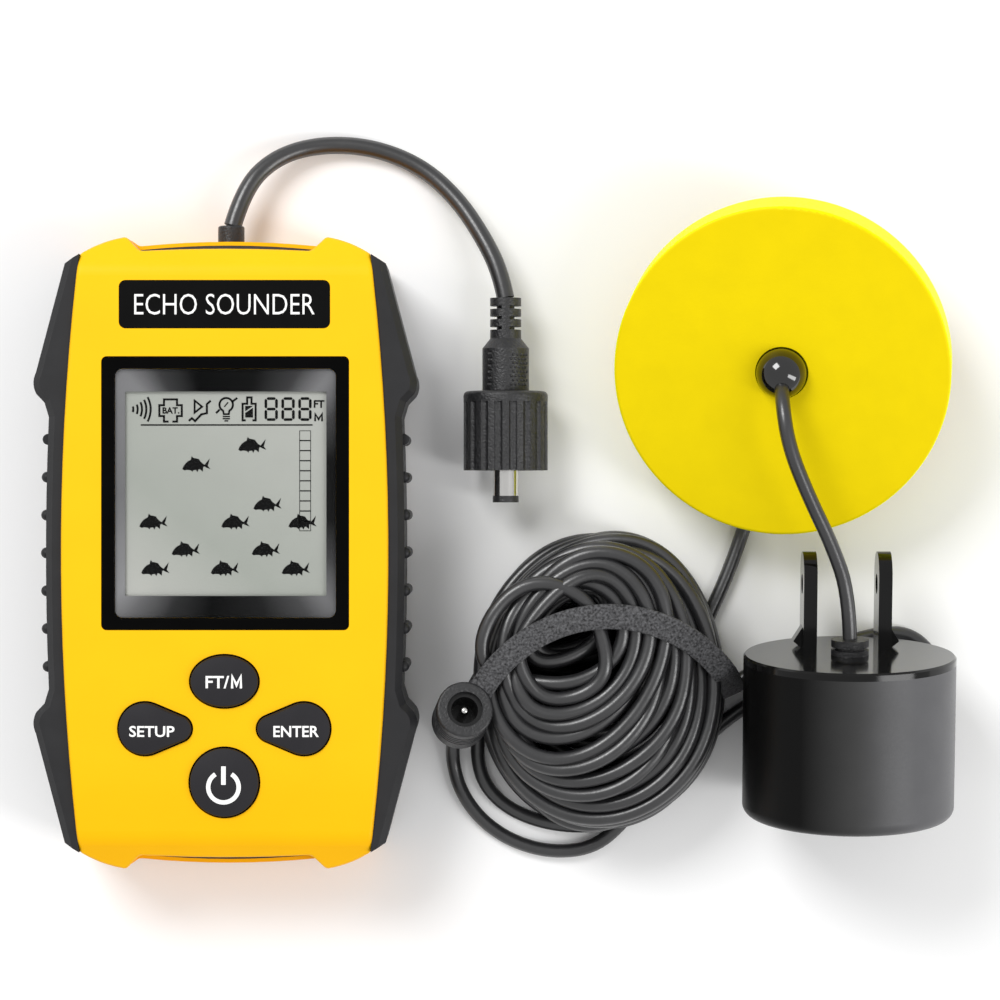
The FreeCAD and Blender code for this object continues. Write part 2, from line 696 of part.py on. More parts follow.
def make_plug_barrel():
    root, mouth, tip = BARREL_Z
    outside = joined([post(BARREL_ROOT_R, root, mouth), post(BARREL_R, mouth, tip)])
    return outside.cut(post(BARREL_BORE_R, root - 1, tip + 1))


def make_plug_insulator():
    tip = BARREL_Z[2]
    lining = ring(BARREL_BORE_R, CONTACT_R, 31.0, tip + 0.1)
    return joined([lining, ring(BARREL_R, CONTACT_R, tip, tip + 1.4)])


def make_socket_parts():
    """The socket moulding, its metal sleeve and its centre pin, mouth at the local origin."""
    length = SOCKET_LENGTH
    body = joined([post(SOCKET_R, -length, 0), cone(2.0, 3.4, -length - SOCKET_RELIEF, -length)])
    rim = [e for e in body.Edges if e.BoundBox.ZMin > -0.01 and e.BoundBox.ZMax < 0.01]
    body = body.makeFillet(0.6, rim)
    grooves = [ring(SOCKET_R + 1, SOCKET_R - 0.35, -z - 0.7, -z) for z in (3.0, 4.6, 6.2, 7.8)]
    deep = -SOCKET_HOLE_DEPTH
    back = deep - 0.8
    body = body.cut(grooves + [post(SLEEVE_R, back, 1)])
    sleeve = ring(SLEEVE_R, SOCKET_HOLE_R, deep, -1.2)
    sleeve = sleeve.fuse(ring(SLEEVE_R, 0.9, back, deep))
    tip = Part.makeSphere(0.95, Vector(0, 0, -1.9))
    pin = joined([post(0.95, deep, -1.9), tip, post(0.9, back, deep)])
    place = Placement(SOCKET_MOUTH, Rotation(Z_AXIS, SOCKET_AXIS))
    parts = [body, sleeve.removeSplitter(), pin]
    for shape in parts:
        shape.Placement = place
    return parts


def on_transducer(shape):
    """From the transducer's own frame, bottom at z = 0 and +Y towards its ears, to its place."""
    shape.Placement = Placement(TRANSDUCER_BASE, Rotation(X_AXIS, TRANSDUCER_TILT - 90))
    return shape


def make_transducer_housing():
    cup = post(TRANSDUCER_R, 0, TRANSDUCER_H - CAP_T)
    rim = [e for e in cup.Edges if e.BoundBox.ZMax < 0.01]
    cup = cup.makeFillet(2.5, rim)
    return cup.cut(post(TRANSDUCER_R - TRANSDUCER_WALL, TRANSDUCER_WALL, TRANSDUCER_H))


def make_ear():
    """The +X ear with its gusset."""
    x0 = EAR_X - EAR_T / 2
    x1 = EAR_X + EAR_T / 2
    half = EAR_W / 2
    root_z = TRANSDUCER_H - 0.3
    round_z = TRANSDUCER_H + EAR_H - half
    plate = block(x0, x1, EAR_BACK - half, EAR_BACK + half, root_z, round_z)
    tip = Part.makeCylinder(half, EAR_T, Vector(x0, EAR_BACK, round_z), X_AXIS)
    tri = face_of([
        line(Vector(x1, 0, root_z), Vector(x1 + 1.9, 0, root_z + 1.6)),
        line(Vector(x1 + 1.9, 0, root_z + 1.6), Vector(x1, 0, root_z + 4.6)),
        line(Vector(x1, 0, root_z + 4.6), Vector(x1, 0, root_z)),
    ]).extrude(Vector(0, 4.0, 0))
    tri.translate(Vector(0, EAR_BACK - 2.0, 0))
    hole = Part.makeCylinder(EAR_HOLE_R, 20, Vector(0, EAR_BACK, TRANSDUCER_H + EAR_HOLE_H), X_AXIS)
    return joined([plate, tip, tri]).cut(hole)


def make_transducer_cap():
    lid = post(TRANSDUCER_R, TRANSDUCER_H - CAP_T, TRANSDUCER_H)
    rim = [e for e in lid.Edges if e.BoundBox.ZMin > TRANSDUCER_H - 0.01]
    lid = lid.makeChamfer(0.4, rim)
    ear = make_ear()
    return joined([lid, ear, mirrored(ear)])


def make_transducer_gland():
    z = TRANSDUCER_H
    return joined([post(3.9, z, z + 1.1), post(3.0, z + 1.1, z + 1.7), post(3.9, z + 1.7, z + 3.2)])


def float_normal():
    sin = math.sin(math.radians(FLOAT_TILT))
    cos = math.cos(math.radians(FLOAT_TILT))
    return Vector(FLOAT_LEAN[0] * sin, FLOAT_LEAN[1] * sin, cos).normalize()


def make_float_disc():
    """A foam disc with a bore for the cable and a round seat for the bead."""
    disc = post(FLOAT_R, -FLOAT_T, 0)
    rims = [e for e in disc.Edges if e.BoundBox.ZLength < 0.01]
    disc = disc.makeFillet(0.7, rims)
    seat = Part.makeSphere(BEAD_R + BEAD_GAP, Vector(0, 0, BEAD_OUT))
    disc = disc.cut([seat, post(CABLE_D / 2 + 0.25, -20, 1)])
    disc.Placement = Placement(FLOAT_FACE, Rotation(Z_AXIS, float_normal()))
    return disc


def make_float_bead():
    """A ball clamped on the cable, which enters at its back and leaves at a slant."""
    centre = Vector(*LEAD_ROUTE[0])
    bores = []
    for route in (LEAD_ROUTE, REAR_ROUTE):
        way = Vector(*route[1]) - centre
        bores.append(Part.makeCylinder(CABLE_D / 2, 2 * BEAD_R, centre, way))
    return Part.makeSphere(BEAD_R, centre, Vector(1, 0.3, 0)).cut(bores[0].fuse(bores[1]))


def hank_body(grow):
    """The hank's outer shape, or the same grown by a strap's thickness."""
    x, y = HANK_CENTRE
    z0 = HANK_Z[0] - grow
    z1 = HANK_Z[1] + grow
    curve = Part.Ellipse(Vector(0, 0, 0), HANK_HALF[1] + grow, HANK_HALF[0] + grow)
    body = face_of([curve.toShape()]).extrude(Vector(0, 0, z1 - z0))
    top = [e for e in body.Edges if e.BoundBox.ZMin > z1 - z0 - 0.01]
    body = body.makeFillet(HANK_ROUND[1] + grow, top)
    bottom = [e for e in body.Edges if e.BoundBox.ZMax < 0.01]
    body = body.makeFillet(HANK_ROUND[0] + grow, bottom)
    body.Placement = Placement(Vector(x, y, z0), Rotation(Z_AXIS, 90))
    return body


def make_hank():
    x, y, radius = HANK_HOLE
    return hank_body(0).cut(post(radius, -1, 40, x, y))


def make_strap():
    """A belt round the hank: a curved slab of the grown hank, with the hank taken out."""
    x, y, radius = STRAP_ARC
    slab = ring(radius + STRAP_W / 2, radius - STRAP_W / 2, -1, 40, x, y)
    slab = slab.common(block(x - 40, x + 40, y + 5, y + 60, -1, 40))
    belt = hank_body(STRAP_T).common(slab)
    return belt.cut(hank_body(0))


def make_signal_leads():
    """Two wires from the gland to the board."""
    board_z = BOARD_Z[0]
    leads = []
    for s in (-1, 1):
        route = [(s * 0.8, 61.2, GLAND_Z), (s, 55.5, 8.6), (s * 2.5, 50.0, 11.0), (s * 4, 46.0, board_z)]
        leads.append(make_tube("signal lead", route, LEAD_WIRE_D))
    return Part.makeCompound(leads)


def make_bezel():
    ledge = CASE_T - BEZEL_DEPTH
    top = CASE_T - BEZEL_SINK
    return rounded_plate(BEZEL, ledge, top).cut(rounded_plate(WINDOW, ledge - 1, top + 1))


def make_lcd_frame():
    ledge = CASE_T - BEZEL_DEPTH
    frame = rounded_plate(WINDOW, ledge, ledge + 0.55, -0.1)
    return frame.cut(rounded_plate(LCD_VIEW, ledge - 1, ledge + 1))


def make_parts():
    ledge = CASE_T - BEZEL_DEPTH
    right_grip = make_right_grip()
    parts = {
        "front_shell": make_front_shell(),
        "rear_shell": make_rear_shell(),
        "case_seal": make_case_seal(),
        "right_grip": right_grip,
        "left_grip": mirrored(right_grip),
        "nameplate": rounded_plate(NAMEPLATE, CASE_T - 1.0, CASE_T - 0.15),
        "display_bezel": make_bezel(),
        "lcd_frame": make_lcd_frame(),
        "display_window": rounded_plate(WINDOW, ledge + 0.6, ledge + 1.2, -0.1),
        "lcd_panel": rounded_plate(LCD_PANEL, LCD_UNDER, ledge - 0.2),
        "backlight_plate": make_backlight(),
        "zebra_strips": make_zebra_strips(),
        "main_board": make_main_board(),
        "board_chips": make_board_chips(),
        "tact_switches": make_tact_switches(),
        "buzzer": post(BUZZER[2], BUZZER[3], BOARD_Z[0], BUZZER[0], BUZZER[1]),
        "board_screws": make_board_screws(),
        "case_screws": make_case_screws(),
        "battery_tray": make_battery_tray(),
        "battery_springs": make_battery_springs(),
        "battery_plates": make_battery_plates(),
        "battery_door": make_battery_door(),
        "cable_gland": make_cable_gland(),
        "signal_leads": make_signal_leads(),
        "pigtail_cable": make_tube("pigtail", PIGTAIL_ROUTE, PIGTAIL_D),
        "plug_moulding": along_plug(make_plug_moulding()),
        "coupling_nut": along_plug(make_coupling_nut()),
        "plug_seal": along_plug(ring(5.6, 3.6, 24.5, 26.1)),
        "plug_barrel": along_plug(make_plug_barrel()),
        "plug_insulator": along_plug(make_plug_insulator()),
        "plug_contact": along_plug(ring(CONTACT_R, 1.05, BARREL_Z[1], 43.0)),
        "transducer_housing": on_transducer(make_transducer_housing()),
        "transducer_cap": on_transducer(make_transducer_cap()),
        "transducer_gland": on_transducer(make_transducer_gland()),
        "piezo_disc": on_transducer(post(12.5, 2.2, 6.2)),
        "backing_disc": on_transducer(post(13.5, 6.2, 12.2)),
        "potting": on_transducer(ring(19.8, 13.5, 2.2, 12.2).fuse(post(19.8, 12.2, 32.4)).removeSplitter()),
        "float_disc": make_float_disc(),
        "cable_lead": make_tube("cable lead", LEAD_ROUTE, CABLE_D),
        "cable_rear": make_tube("cable rear", REAR_ROUTE, CABLE_D),
        "cable_stray": make_tube("cable stray", STRAY_ROUTE, CABLE_D),
        "cable_tail": make_tube("cable tail", TAIL_ROUTE, CABLE_D),
        "cable_hank": make_hank(),
        "hank_strap": make_strap(),
    }
    for name in KEYS:
        parts[f"{name}_key"] = make_key(name)
    for i in range(4):
        parts[f"battery_{i + 1}"] = make_cell(i)
    parts["float_bead"] = make_float_bead()
    parts["socket_body"], parts["socket_sleeve"], parts["socket_pin"] = make_socket_parts()
    return parts


def main():
    os.makedirs("parts", exist_ok=True)
    for name, shape in make_parts().items():
        if not shape.isValid():
            print(name, "is not valid")
        shape.exportStep(f"parts/{name}.step")


main()
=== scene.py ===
"""Looks of the portable fish finder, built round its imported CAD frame.

The scene is in metres. Routes, sizes and places below are in millimetres and are scaled by MM.
"""
import math

import bmesh
import bpy
import numpy as np
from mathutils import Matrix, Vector
from mathutils.bvhtree import BVHTree


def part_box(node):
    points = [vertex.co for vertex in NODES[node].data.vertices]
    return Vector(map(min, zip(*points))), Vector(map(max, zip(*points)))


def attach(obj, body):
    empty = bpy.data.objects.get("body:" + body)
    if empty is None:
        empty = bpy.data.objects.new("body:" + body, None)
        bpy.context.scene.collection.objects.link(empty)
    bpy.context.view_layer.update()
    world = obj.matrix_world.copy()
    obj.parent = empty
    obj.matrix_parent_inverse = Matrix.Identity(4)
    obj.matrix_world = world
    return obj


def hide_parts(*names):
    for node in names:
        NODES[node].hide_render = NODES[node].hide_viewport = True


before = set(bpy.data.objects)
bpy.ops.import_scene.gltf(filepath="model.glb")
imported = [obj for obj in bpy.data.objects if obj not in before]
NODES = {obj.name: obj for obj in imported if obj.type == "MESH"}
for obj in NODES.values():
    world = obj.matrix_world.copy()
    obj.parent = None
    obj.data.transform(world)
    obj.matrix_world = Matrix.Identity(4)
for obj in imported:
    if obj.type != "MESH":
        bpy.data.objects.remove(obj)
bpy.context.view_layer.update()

MM = 0.001
HANDSET = "handset"
SONAR = "sonar_set"


# Camera

VIEW_CENTRE = Vector((57.0, 11.0, 20.0)) * MM
VIEW_WIDTH = 209.0 * MM
CAMERA_HEIGHT = 760.0 * MM
SENSOR = 36.0                       # the camera's own unit, millimetres


def linked(name, data):
    """A new object in the scene."""
    made = bpy.data.objects.new(name, data)
    bpy.context.scene.collection.objects.link(made)
    return made


def make_camera():
    data = bpy.data.cameras.new("camera")
    data.sensor_width = SENSOR
    data.lens = SENSOR * CAMERA_HEIGHT / VIEW_WIDTH
    data.clip_start = 0.01
    data.clip_end = 20.0
    camera = linked("camera", data)
    camera.location = VIEW_CENTRE + Vector((0, 0, CAMERA_HEIGHT))
    bpy.context.scene.camera = camera


make_camera()


# Materials: colours are linear, grain sizes and depths are in millimetres

NOISE_LOW = 0.3
NOISE_HIGH = 0.7
COAT_ROUGHNESS = 0.08
WINDOW_ALPHA = 0.03


def material(name):
    """The named material, made the first time. The frame's own are named after the record's slots."""
    found = bpy.data.materials.get(name)
    if found is None:
        found = bpy.data.materials.new(name)
    found.use_nodes = True
    return found


def bare(name):
    """A material with nothing but its shader."""
    mat = material(name)
    tree = mat.node_tree
    tree.nodes.clear()
    shader = tree.nodes.new("ShaderNodeBsdfPrincipled")
    output = tree.nodes.new("ShaderNodeOutputMaterial")
    tree.links.new(shader.outputs["BSDF"], output.inputs["Surface"])
    return mat, tree, shader


def coordinates(tree, which="Object"):
    """The object's own coordinates, or its Normal."""
    return tree.nodes.new("ShaderNodeTexCoord").outputs[which]


def noise(tree, size, detail=3.0, stretch=(1, 1, 1)):
    """A noise value with features of about that size in millimetres."""
    mapping = tree.nodes.new("ShaderNodeMapping")
    mapping.inputs["Scale"].default_value = stretch
    tree.links.new(coordinates(tree), mapping.inputs["Vector"])
    texture = tree.nodes.new("ShaderNodeTexNoise")
    texture.inputs["Scale"].default_value = 1000 / size
    texture.inputs["Detail"].default_value = detail
    tree.links.new(mapping.outputs["Vector"], texture.inputs["Vector"])
    return texture.outputs["Fac"]


def ranged(tree, value, low, high, start=NOISE_LOW, stop=NOISE_HIGH):
    """A value moved from start..stop, the usual range of a noise, to low..high."""
    node = tree.nodes.new("ShaderNodeMapRange")
    for name, number in zip(("From Min", "From Max", "To Min", "To Max"), (start, stop, low, high)):
        node.inputs[name].default_value = number
    tree.links.new(value, node.inputs["Value"])
    return node.outputs["Result"]


def ramp(tree, value, stops):
    """A colour from (place, colour) stops."""
    node = tree.nodes.new("ShaderNodeValToRGB")
    elements = node.color_ramp.elements
    while len(elements) < len(stops):
        elements.new(0.5)
    for element, (place, colour) in zip(elements, stops):
        element.position = place
        element.color = (*colour, 1)
    tree.links.new(value, node.inputs["Fac"])
    return node.outputs["Color"]


def tinted(tree, colour, amount, size):
    """A colour output that wanders darker and lighter by amount."""
    mix = tree.nodes.new("ShaderNodeMix")
    mix.data_type = "RGBA"
    mix.blend_type = "MULTIPLY"
    mix.inputs["Factor"].default_value = 1
    shade = ramp(tree, noise(tree, size), [(NOISE_LOW, (1 - amount,) * 3), (NOISE_HIGH, (1, 1, 1))])
    if isinstance(colour, tuple):
        mix.inputs["A"].default_value = (*colour, 1)
    else:
        tree.links.new(colour, mix.inputs["A"])
    tree.links.new(shade, mix.inputs["B"])
    return mix.outputs["Result"]


def dented(tree, shader, height, depth):
    """Bumps of that depth in millimetres."""
    bump = tree.nodes.new("ShaderNodeBump")
    bump.inputs["Distance"].default_value = depth * MM
    tree.links.new(height, bump.inputs["Height"])
    tree.links.new(bump.outputs["Normal"], shader.inputs["Normal"])


def moulded(name, colour, roughness, vary=0.08, blotch=9.0, grain=0.4, depth=0.01, specular=0.4, metal=0.0,
            coat=0.0, stretch=(1, 1, 1)):
    """A finish whose colour and gloss wander a little, over a fine grain. Its colour may be a function."""
    _, tree, shader = bare(name)
    base = colour(tree) if callable(colour) else colour
    tree.links.new(tinted(tree, base, vary, blotch), shader.inputs["Base Color"])
    grains = noise(tree, grain, stretch=stretch)
    tree.links.new(ranged(tree, grains, roughness * 0.85, roughness * 1.15), shader.inputs["Roughness"])
    dented(tree, shader, grains, depth)
    shader.inputs["Specular IOR Level"].default_value = specular
    shader.inputs["Metallic"].default_value = metal
    shader.inputs["Coat Weight"].default_value = coat
    shader.inputs["Coat Roughness"].default_value = COAT_ROUGHNESS
    return shader


def dotted(tree, vector, direction):
    """The dot product of a vector output with a fixed direction."""
    dot = tree.nodes.new("ShaderNodeVectorMath")
    dot.operation = "DOT_PRODUCT"
    dot.inputs[1].default_value = direction
    tree.links.new(vector, dot.inputs[0])
    return dot.outputs["Value"]


def along(tree, direction, low, high):
    """0 to 1 as a point of the object goes from low to high, in millimetres along a direction."""
    return ranged(tree, dotted(tree, coordinates(tree), direction), 0, 1, low * MM, high * MM)


def facing(tree, direction):
    """How far a surface faces a direction of its object, to either side, from 0 to 1."""
    size = tree.nodes.new("ShaderNodeMath")
    size.operation = "ABSOLUTE"
    tree.links.new(dotted(tree, coordinates(tree, "Normal"), direction), size.inputs[0])
    return size.outputs["Value"]


def mixed(tree, factor, first, second):
    """The first colour where factor is 0, and the second where it is 1."""
    mix = tree.nodes.new("ShaderNodeMix")
    mix.data_type = "RGBA"
    tree.links.new(factor, mix.inputs["Factor"])
    mix.inputs["A"].default_value = (*first, 1)
    tree.links.new(second, mix.inputs["B"])
    return mix.outputs["Result"]


# Painted shade on the case, along y in millimetres: its yellow deepens towards the lower end, and walls are
# painted orange as shade
CASE_LOW_Y, CASE_HIGH_Y = -62, 70
WALL_TILT = 0.6                     # a face whose normal has less than this upwards is taken as a wall
WALL_SHADE_ORANGE = (0.92, 0.38, 0.0)


def case_colour_and_shade(tree):
    """Yellow with painted shade: deeper towards the lower end, and orange on upright walls such as those
    round the keys.
    """
    face = ramp(tree, along(tree, (0, 1, 0), CASE_LOW_Y, CASE_HIGH_Y),
                [(0.0, (0.92, 0.47, 0.0)), (0.09, (0.92, 0.485, 0.001)), (0.15, (0.92, 0.51, 0.003)),
                 (0.85, (0.92, 0.53, 0.006)), (1.0, (0.92, 0.56, 0.004))])
    return mixed(tree, ranged(tree, facing(tree, (0, 0, 1)), 0, 1, 0.0, WALL_TILT), WALL_SHADE_ORANGE, face)


LCD_CENTRE = (0.2, 12.3)
# Painted reflection round the display's frame: greys as (part of a turn anticlockwise from the left, grey)
FRAME_REFLECTION_GREYS = [(0.0, 0.16), (0.12, 0.25), (0.145, 0.12), (0.18, 0.025), (0.23, 0.002), (0.3, 0.012),
               (0.345, 0.06), (0.37, 0.16), (0.41, 0.05), (0.46, 0.008), (0.55, 0.006), (0.6, 0.05),
               (0.635, 0.19), (0.665, 0.04), (0.71, 0.004), (0.79, 0.001), (0.83, 0.04), (0.86, 0.2),
               (1.0, 0.16)]


def frame_colour_and_reflection(tree):
    """Brushed lacquer with a painted reflection: light at the corners and dark at the middle of each side."""
    mapping = tree.nodes.new("ShaderNodeMapping")
    mapping.inputs["Location"].default_value = (-LCD_CENTRE[0] * MM, -LCD_CENTRE[1] * MM, 0)
    tree.links.new(coordinates(tree), mapping.inputs["Vector"])
    radial = tree.nodes.new("ShaderNodeTexGradient")
    radial.gradient_type = "RADIAL"
    tree.links.new(mapping.outputs["Vector"], radial.inputs["Vector"])
    stops = [(place, (grey, grey, grey * 1.03)) for place, grey in FRAME_REFLECTION_GREYS]
    return ramp(tree, radial.outputs["Fac"], stops)


def lcd_colour_and_reflection(tree):
    """Grey-green glass, with a painted reflection that makes it lighter at two opposite corners."""
    return ramp(tree, along(tree, (0.5, 0.6, 0), -20, 24),
                [(0.0, (0.50, 0.50, 0.47)), (0.45, (0.35, 0.37, 0.335)), (1.0, (0.42, 0.43, 0.40))])


FLOAT_NORMAL = (-0.1316, -0.2611, 0.9563)     # square to the float's faces as it leans


def foam_colour_and_rim_light(tree):
    """Golden faces, and a lemon rim that is a painted highlight."""
    return ramp(tree, facing(tree, FLOAT_NORMAL), [(0.5, (0.95, 0.93, 0.0)), (0.97, (0.78, 0.60, 0.0))])


# The transducer's span in x, over which its painted sheen goes from black to grey
SONAR_LEFT_X, SONAR_RIGHT_X = 107, 151


def sonar_black_and_sheen(tree):
    """Black, with a painted sheen that turns it grey to the right."""
    return ramp(tree, along(tree, (1, 0, 0), SONAR_LEFT_X, SONAR_RIGHT_X),
                [(0.0, (0.0004,) * 3), (0.25, (0.003,) * 3), (0.5, (0.045,) * 3), (0.8, (0.115, 0.115, 0.12)),
                 (1.0, (0.13, 0.13, 0.135))])


def make_materials():
    """A finish for every slot of the record, and for the socket's lining, the print and the display's ink."""
    moulded("case_yellow", case_colour_and_shade, 0.42, vary=0.03, blotch=14, grain=0.5, depth=0.004, specular=0.12)
    moulded("grip_rubber", (0.017, 0.017, 0.0185), 0.5, vary=0.2, blotch=5, grain=0.25, depth=0.012,
            specular=0.3)
    moulded("seal_rubber", (0.04, 0.04, 0.04), 0.6, vary=0.2)
    moulded("nameplate_black", (0.003, 0.003, 0.003), 0.45, vary=0.3, specular=0.06, depth=0.003)
    moulded("bezel_black", (0.002, 0.002, 0.002), 0.3, vary=0.3, specular=0.03, depth=0.001)
    window = moulded("window_clear", (0.05, 0.055, 0.055), 0.08, vary=0.03, depth=0.0005, specular=0.15)
    window.inputs["Alpha"].default_value = WINDOW_ALPHA
    moulded("lcd_frame_grey", frame_colour_and_reflection, 0.3, vary=0.05, specular=0.02, depth=0.001, stretch=(1, 8, 1))
    moulded("lcd_glass", lcd_colour_and_reflection, 0.35, vary=0.03, blotch=6, specular=0.1, depth=0.0005)
    moulded("light_guide", (0.8, 0.82, 0.8), 0.5)
    moulded("zebra", (0.5, 0.32, 0.38), 0.5, vary=0.5, blotch=0.5, stretch=(8, 1, 1))
    moulded("board_green", (0.02, 0.17, 0.06), 0.35, vary=0.3, blotch=2, depth=0.01)
    moulded("chip_black", (0.02, 0.02, 0.02), 0.6, vary=0.2)
    moulded("switch_metal", (0.6, 0.6, 0.6), 0.3, metal=1.0)
    moulded("key_rubber", (0.0125, 0.0115, 0.0145), 0.5, vary=0.12, blotch=3, grain=0.2, depth=0.006,
            specular=0.3)
    moulded("screw_steel", (0.6, 0.6, 0.62), 0.3, metal=1.0)
    moulded("tray_black", (0.03, 0.03, 0.03), 0.5, vary=0.2)
    moulded("cell_jacket", (0.05, 0.05, 0.07), 0.25, coat=0.4)
    moulded("contact_nickel", (0.75, 0.75, 0.74), 0.2, metal=1.0)
    moulded("cable_pvc", (0.019, 0.019, 0.0205), 0.33, vary=0.4, blotch=7, grain=0.5, depth=0.014,
            specular=0.9)
    moulded("lead_wire", (0.45, 0.03, 0.03), 0.4)
    moulded("plug_black", (0.014, 0.014, 0.0155), 0.42, vary=0.5, blotch=0.7, grain=0.5, depth=0.16,
            specular=0.6)
    moulded("nut_black", (0.014, 0.014, 0.0155), 0.42, vary=0.55, blotch=0.7, grain=0.5, depth=0.2,
            specular=0.6)
    moulded("plug_metal", (0.75, 0.74, 0.72), 0.14, vary=0.1, metal=1.0, depth=0.001)
    moulded("sonar_black", sonar_black_and_sheen, 0.34, vary=0.1, depth=0.004, specular=0.12)
    moulded("sonar_gloss", (0.003, 0.003, 0.003), 0.12, vary=0.3, depth=0.001, specular=0.3)
    moulded("socket_dark", (0.006, 0.006, 0.0065), 0.3, vary=0.4, blotch=1, depth=0.004, specular=0.4)
    moulded("ceramic", (0.75, 0.72, 0.62), 0.6)
    moulded("backing", (0.3, 0.22, 0.15), 0.7, vary=0.4, blotch=1.5)
    moulded("epoxy", (0.05, 0.05, 0.05), 0.2)
    moulded("float_foam", foam_colour_and_rim_light, 0.5, vary=0.04, blotch=6, grain=0.6, depth=0.02, specular=0.08)
    moulded("bead_gloss", (0.003, 0.003, 0.003), 0.08, vary=0.3, depth=0.0005, specular=0.6, coat=0.6)
    moulded("hook_loop", (0.12, 0.12, 0.125), 0.85, vary=0.85, blotch=0.5, grain=0.45, depth=0.2,
            specular=0.2)
    moulded("white_print", (0.9, 0.9, 0.88), 0.5, vary=0.04, depth=0.001, specular=0.2)
    moulded("lcd_ink", (0.004, 0.004, 0.004), 0.5, vary=0.2, depth=0.001, specular=0.05)


make_materials()
NODES["socket_sleeve"].material_slots[0].material = material("socket_dark")


# Cords: routes in millimetres, the same points as the CAD tubes

PIGTAIL_D = 3.8
PIGTAIL_ROUTE = [
    (0.3, 69.1, 8.5), (2.6, 77.2, 7.6), (9.0, 84.0, 5.0), (18.2, 87.0, 2.6), (29.4, 86.6, 2.0),
    (40.2, 82.4, 2.2), (48.0, 75.2, 4.0), (53.6, 66.6, 6.6), (57.1, 59.2, 8.4), (58.2, 53.8, 8.95),
]
PIGTAIL_STEPS, CABLE_STEPS = 12, 6  # rings of the mesh between two points of a cord
CABLE_D = 3.0
LEAD_ROUTE = [
    (115.4, 37.3, 25.4), (115.0, 30.6, 33.0), (116.4, 21.6, 33.4), (120.6, 11.6, 31.4),
    (125.6, 1.6, 29.4), (129.1, -8.2, 28.0), (129.5, -17.8, 26.6),
]
REAR_ROUTE = [
    (115.4, 37.3, 25.4), (117.7, 41.8, 8.6), (120.9, 48.1, 1.5), (124.5, 57.5, 1.5), (132.5, 63.0, 1.5),
    (141.5, 60.5, 1.5), (146.0, 52.0, 1.5), (143.0, 42.5, 1.5), (135.0, 36.0, 1.5), (126.0, 31.0, 1.5),
    (118.0, 24.5, 1.5), (112.5, 15.5, 1.5), (109.3, 5.0, 1.5), (105.5, -5.5, 1.5), (100.6, -16.0, 1.6),
]
STRAY_ROUTE = [
    (99.5, -41.0, 1.6), (108.5, -33.5, 1.5), (118.5, -28.6, 1.5), (130.0, -27.0, 1.5), (138.0, -34.2, 1.5),
    (144.9, -34.6, 1.5), (150.0, -29.8, 1.5), (150.0, -22.6, 1.5), (144.9, -17.5, 1.5), (137.7, -17.5, 1.5),
    (129.0, -20.3, 1.5), (119.0, -22.2, 1.5), (109.5, -26.5, 1.5), (101.0, -32.5, 1.6),
]
TAIL_ROUTE = [
    (47.8, -37.1, 11.24), (47.34, -38.25, 6.8), (46.9, -41.2, 3.3), (46.9, -45.4, 1.5), (48.6, -51.5, 1.5),
    (53.0, -57.6, 1.5), (59.8, -62.2, 1.5), (68.0, -64.4, 1.5), (76.5, -63.6, 1.6), (82.5, -59.0, 2.5),
]
# The turn that leaves the hank's left side, crosses below it and comes out towards the transducer
UNDER_ROUTE = [
    (57.0, -44.2, 1.6), (56.2, -39.4, 1.5), (59.0, -35.8, 1.5), (65.5, -34.4, 1.5), (78.0, -34.2, 1.5),
    (89.0, -34.0, 1.5),
]

# Hank: turns seen from above, clockwise from its left side, next to the hole and at the outline
INNER_TURN = [
    (60.2, -18.4), (62.4, -12.6), (67.0, -8.0), (72.6, -5.4), (77.6, -6.8), (80.6, -11.0), (80.8, -16.2),
    (77.6, -20.8), (71.6, -23.6), (64.2, -23.4),
]
OUTER_TURN = [
    (57.0, -37.0), (57.4, -21.0), (63.0, -8.0), (76.0, 1.6), (90.5, -0.6), (100.0, -13.5), (102.6, -32.0),
    (98.0, -49.0), (79.0, -59.4), (62.5, -51.0),
]
# The turn that lies loose over the hole, and the one that strays into the gap inside the tail
LOOSE_TURN = [
    (58.8, -26.8, 25.0), (53.2, -22.6, 28.4), (53.4, -14.8, 29.5), (59.8, -8.0, 29.5), (69.0, -5.6, 29.5),
    (75.8, -10.2, 29.3), (77.8, -17.0, 28.6), (77.0, -22.0, 28.4), (71.0, -24.6, 28.2), (64.0, -25.8, 27.0),
]
CRESCENT_TURN = [
    (50.8, -44.0, 1.5), (56.3, -30.0, 4.0), (60.0, -11.5, 6.0), (75.0, 1.5, 7.0), (91.0, 0.0, 7.0),
    (101.5, -14.0, 6.0), (103.0, -32.0, 5.0), (98.0, -49.5, 3.0), (79.0, -60.5, 1.6), (56.0, -56.0, 1.5),
]
HANK_LOW, HANK_HIGH = 2.5, 28.0     # heights of the lowest and highest strands' middles before they settle
HANK_TOP = 29.5                     # and the most they may rise to
WIDE_SIDE, WIDE_CROWN = 40.0, 0.34  # where its turns fan out: its width, and how far its top falls outwards
TIGHT_SIDE, TIGHT_CROWN = 9.0, 0.1  # the same where they are bunched
CROWN_POWER = 2.2                   # the top is level next to the hole and falls faster outwards
HOLE_FOOT = 0.12                    # how far the hank's foot stands into its hole, as a share of the width
TIGHT_TURN = 0.15                   # where they are bunched, as a part of a turn
# How many points stand for each side of a section
TOP_POINTS, OUTER_POINTS, BOTTOM_POINTS, INNER_POINTS = 24, 16, 20, 16
SHELL_TURNS, LAST_TURNS = 41, 4     # before and after the strand that strays to the transducer
TURN_POINTS = 48
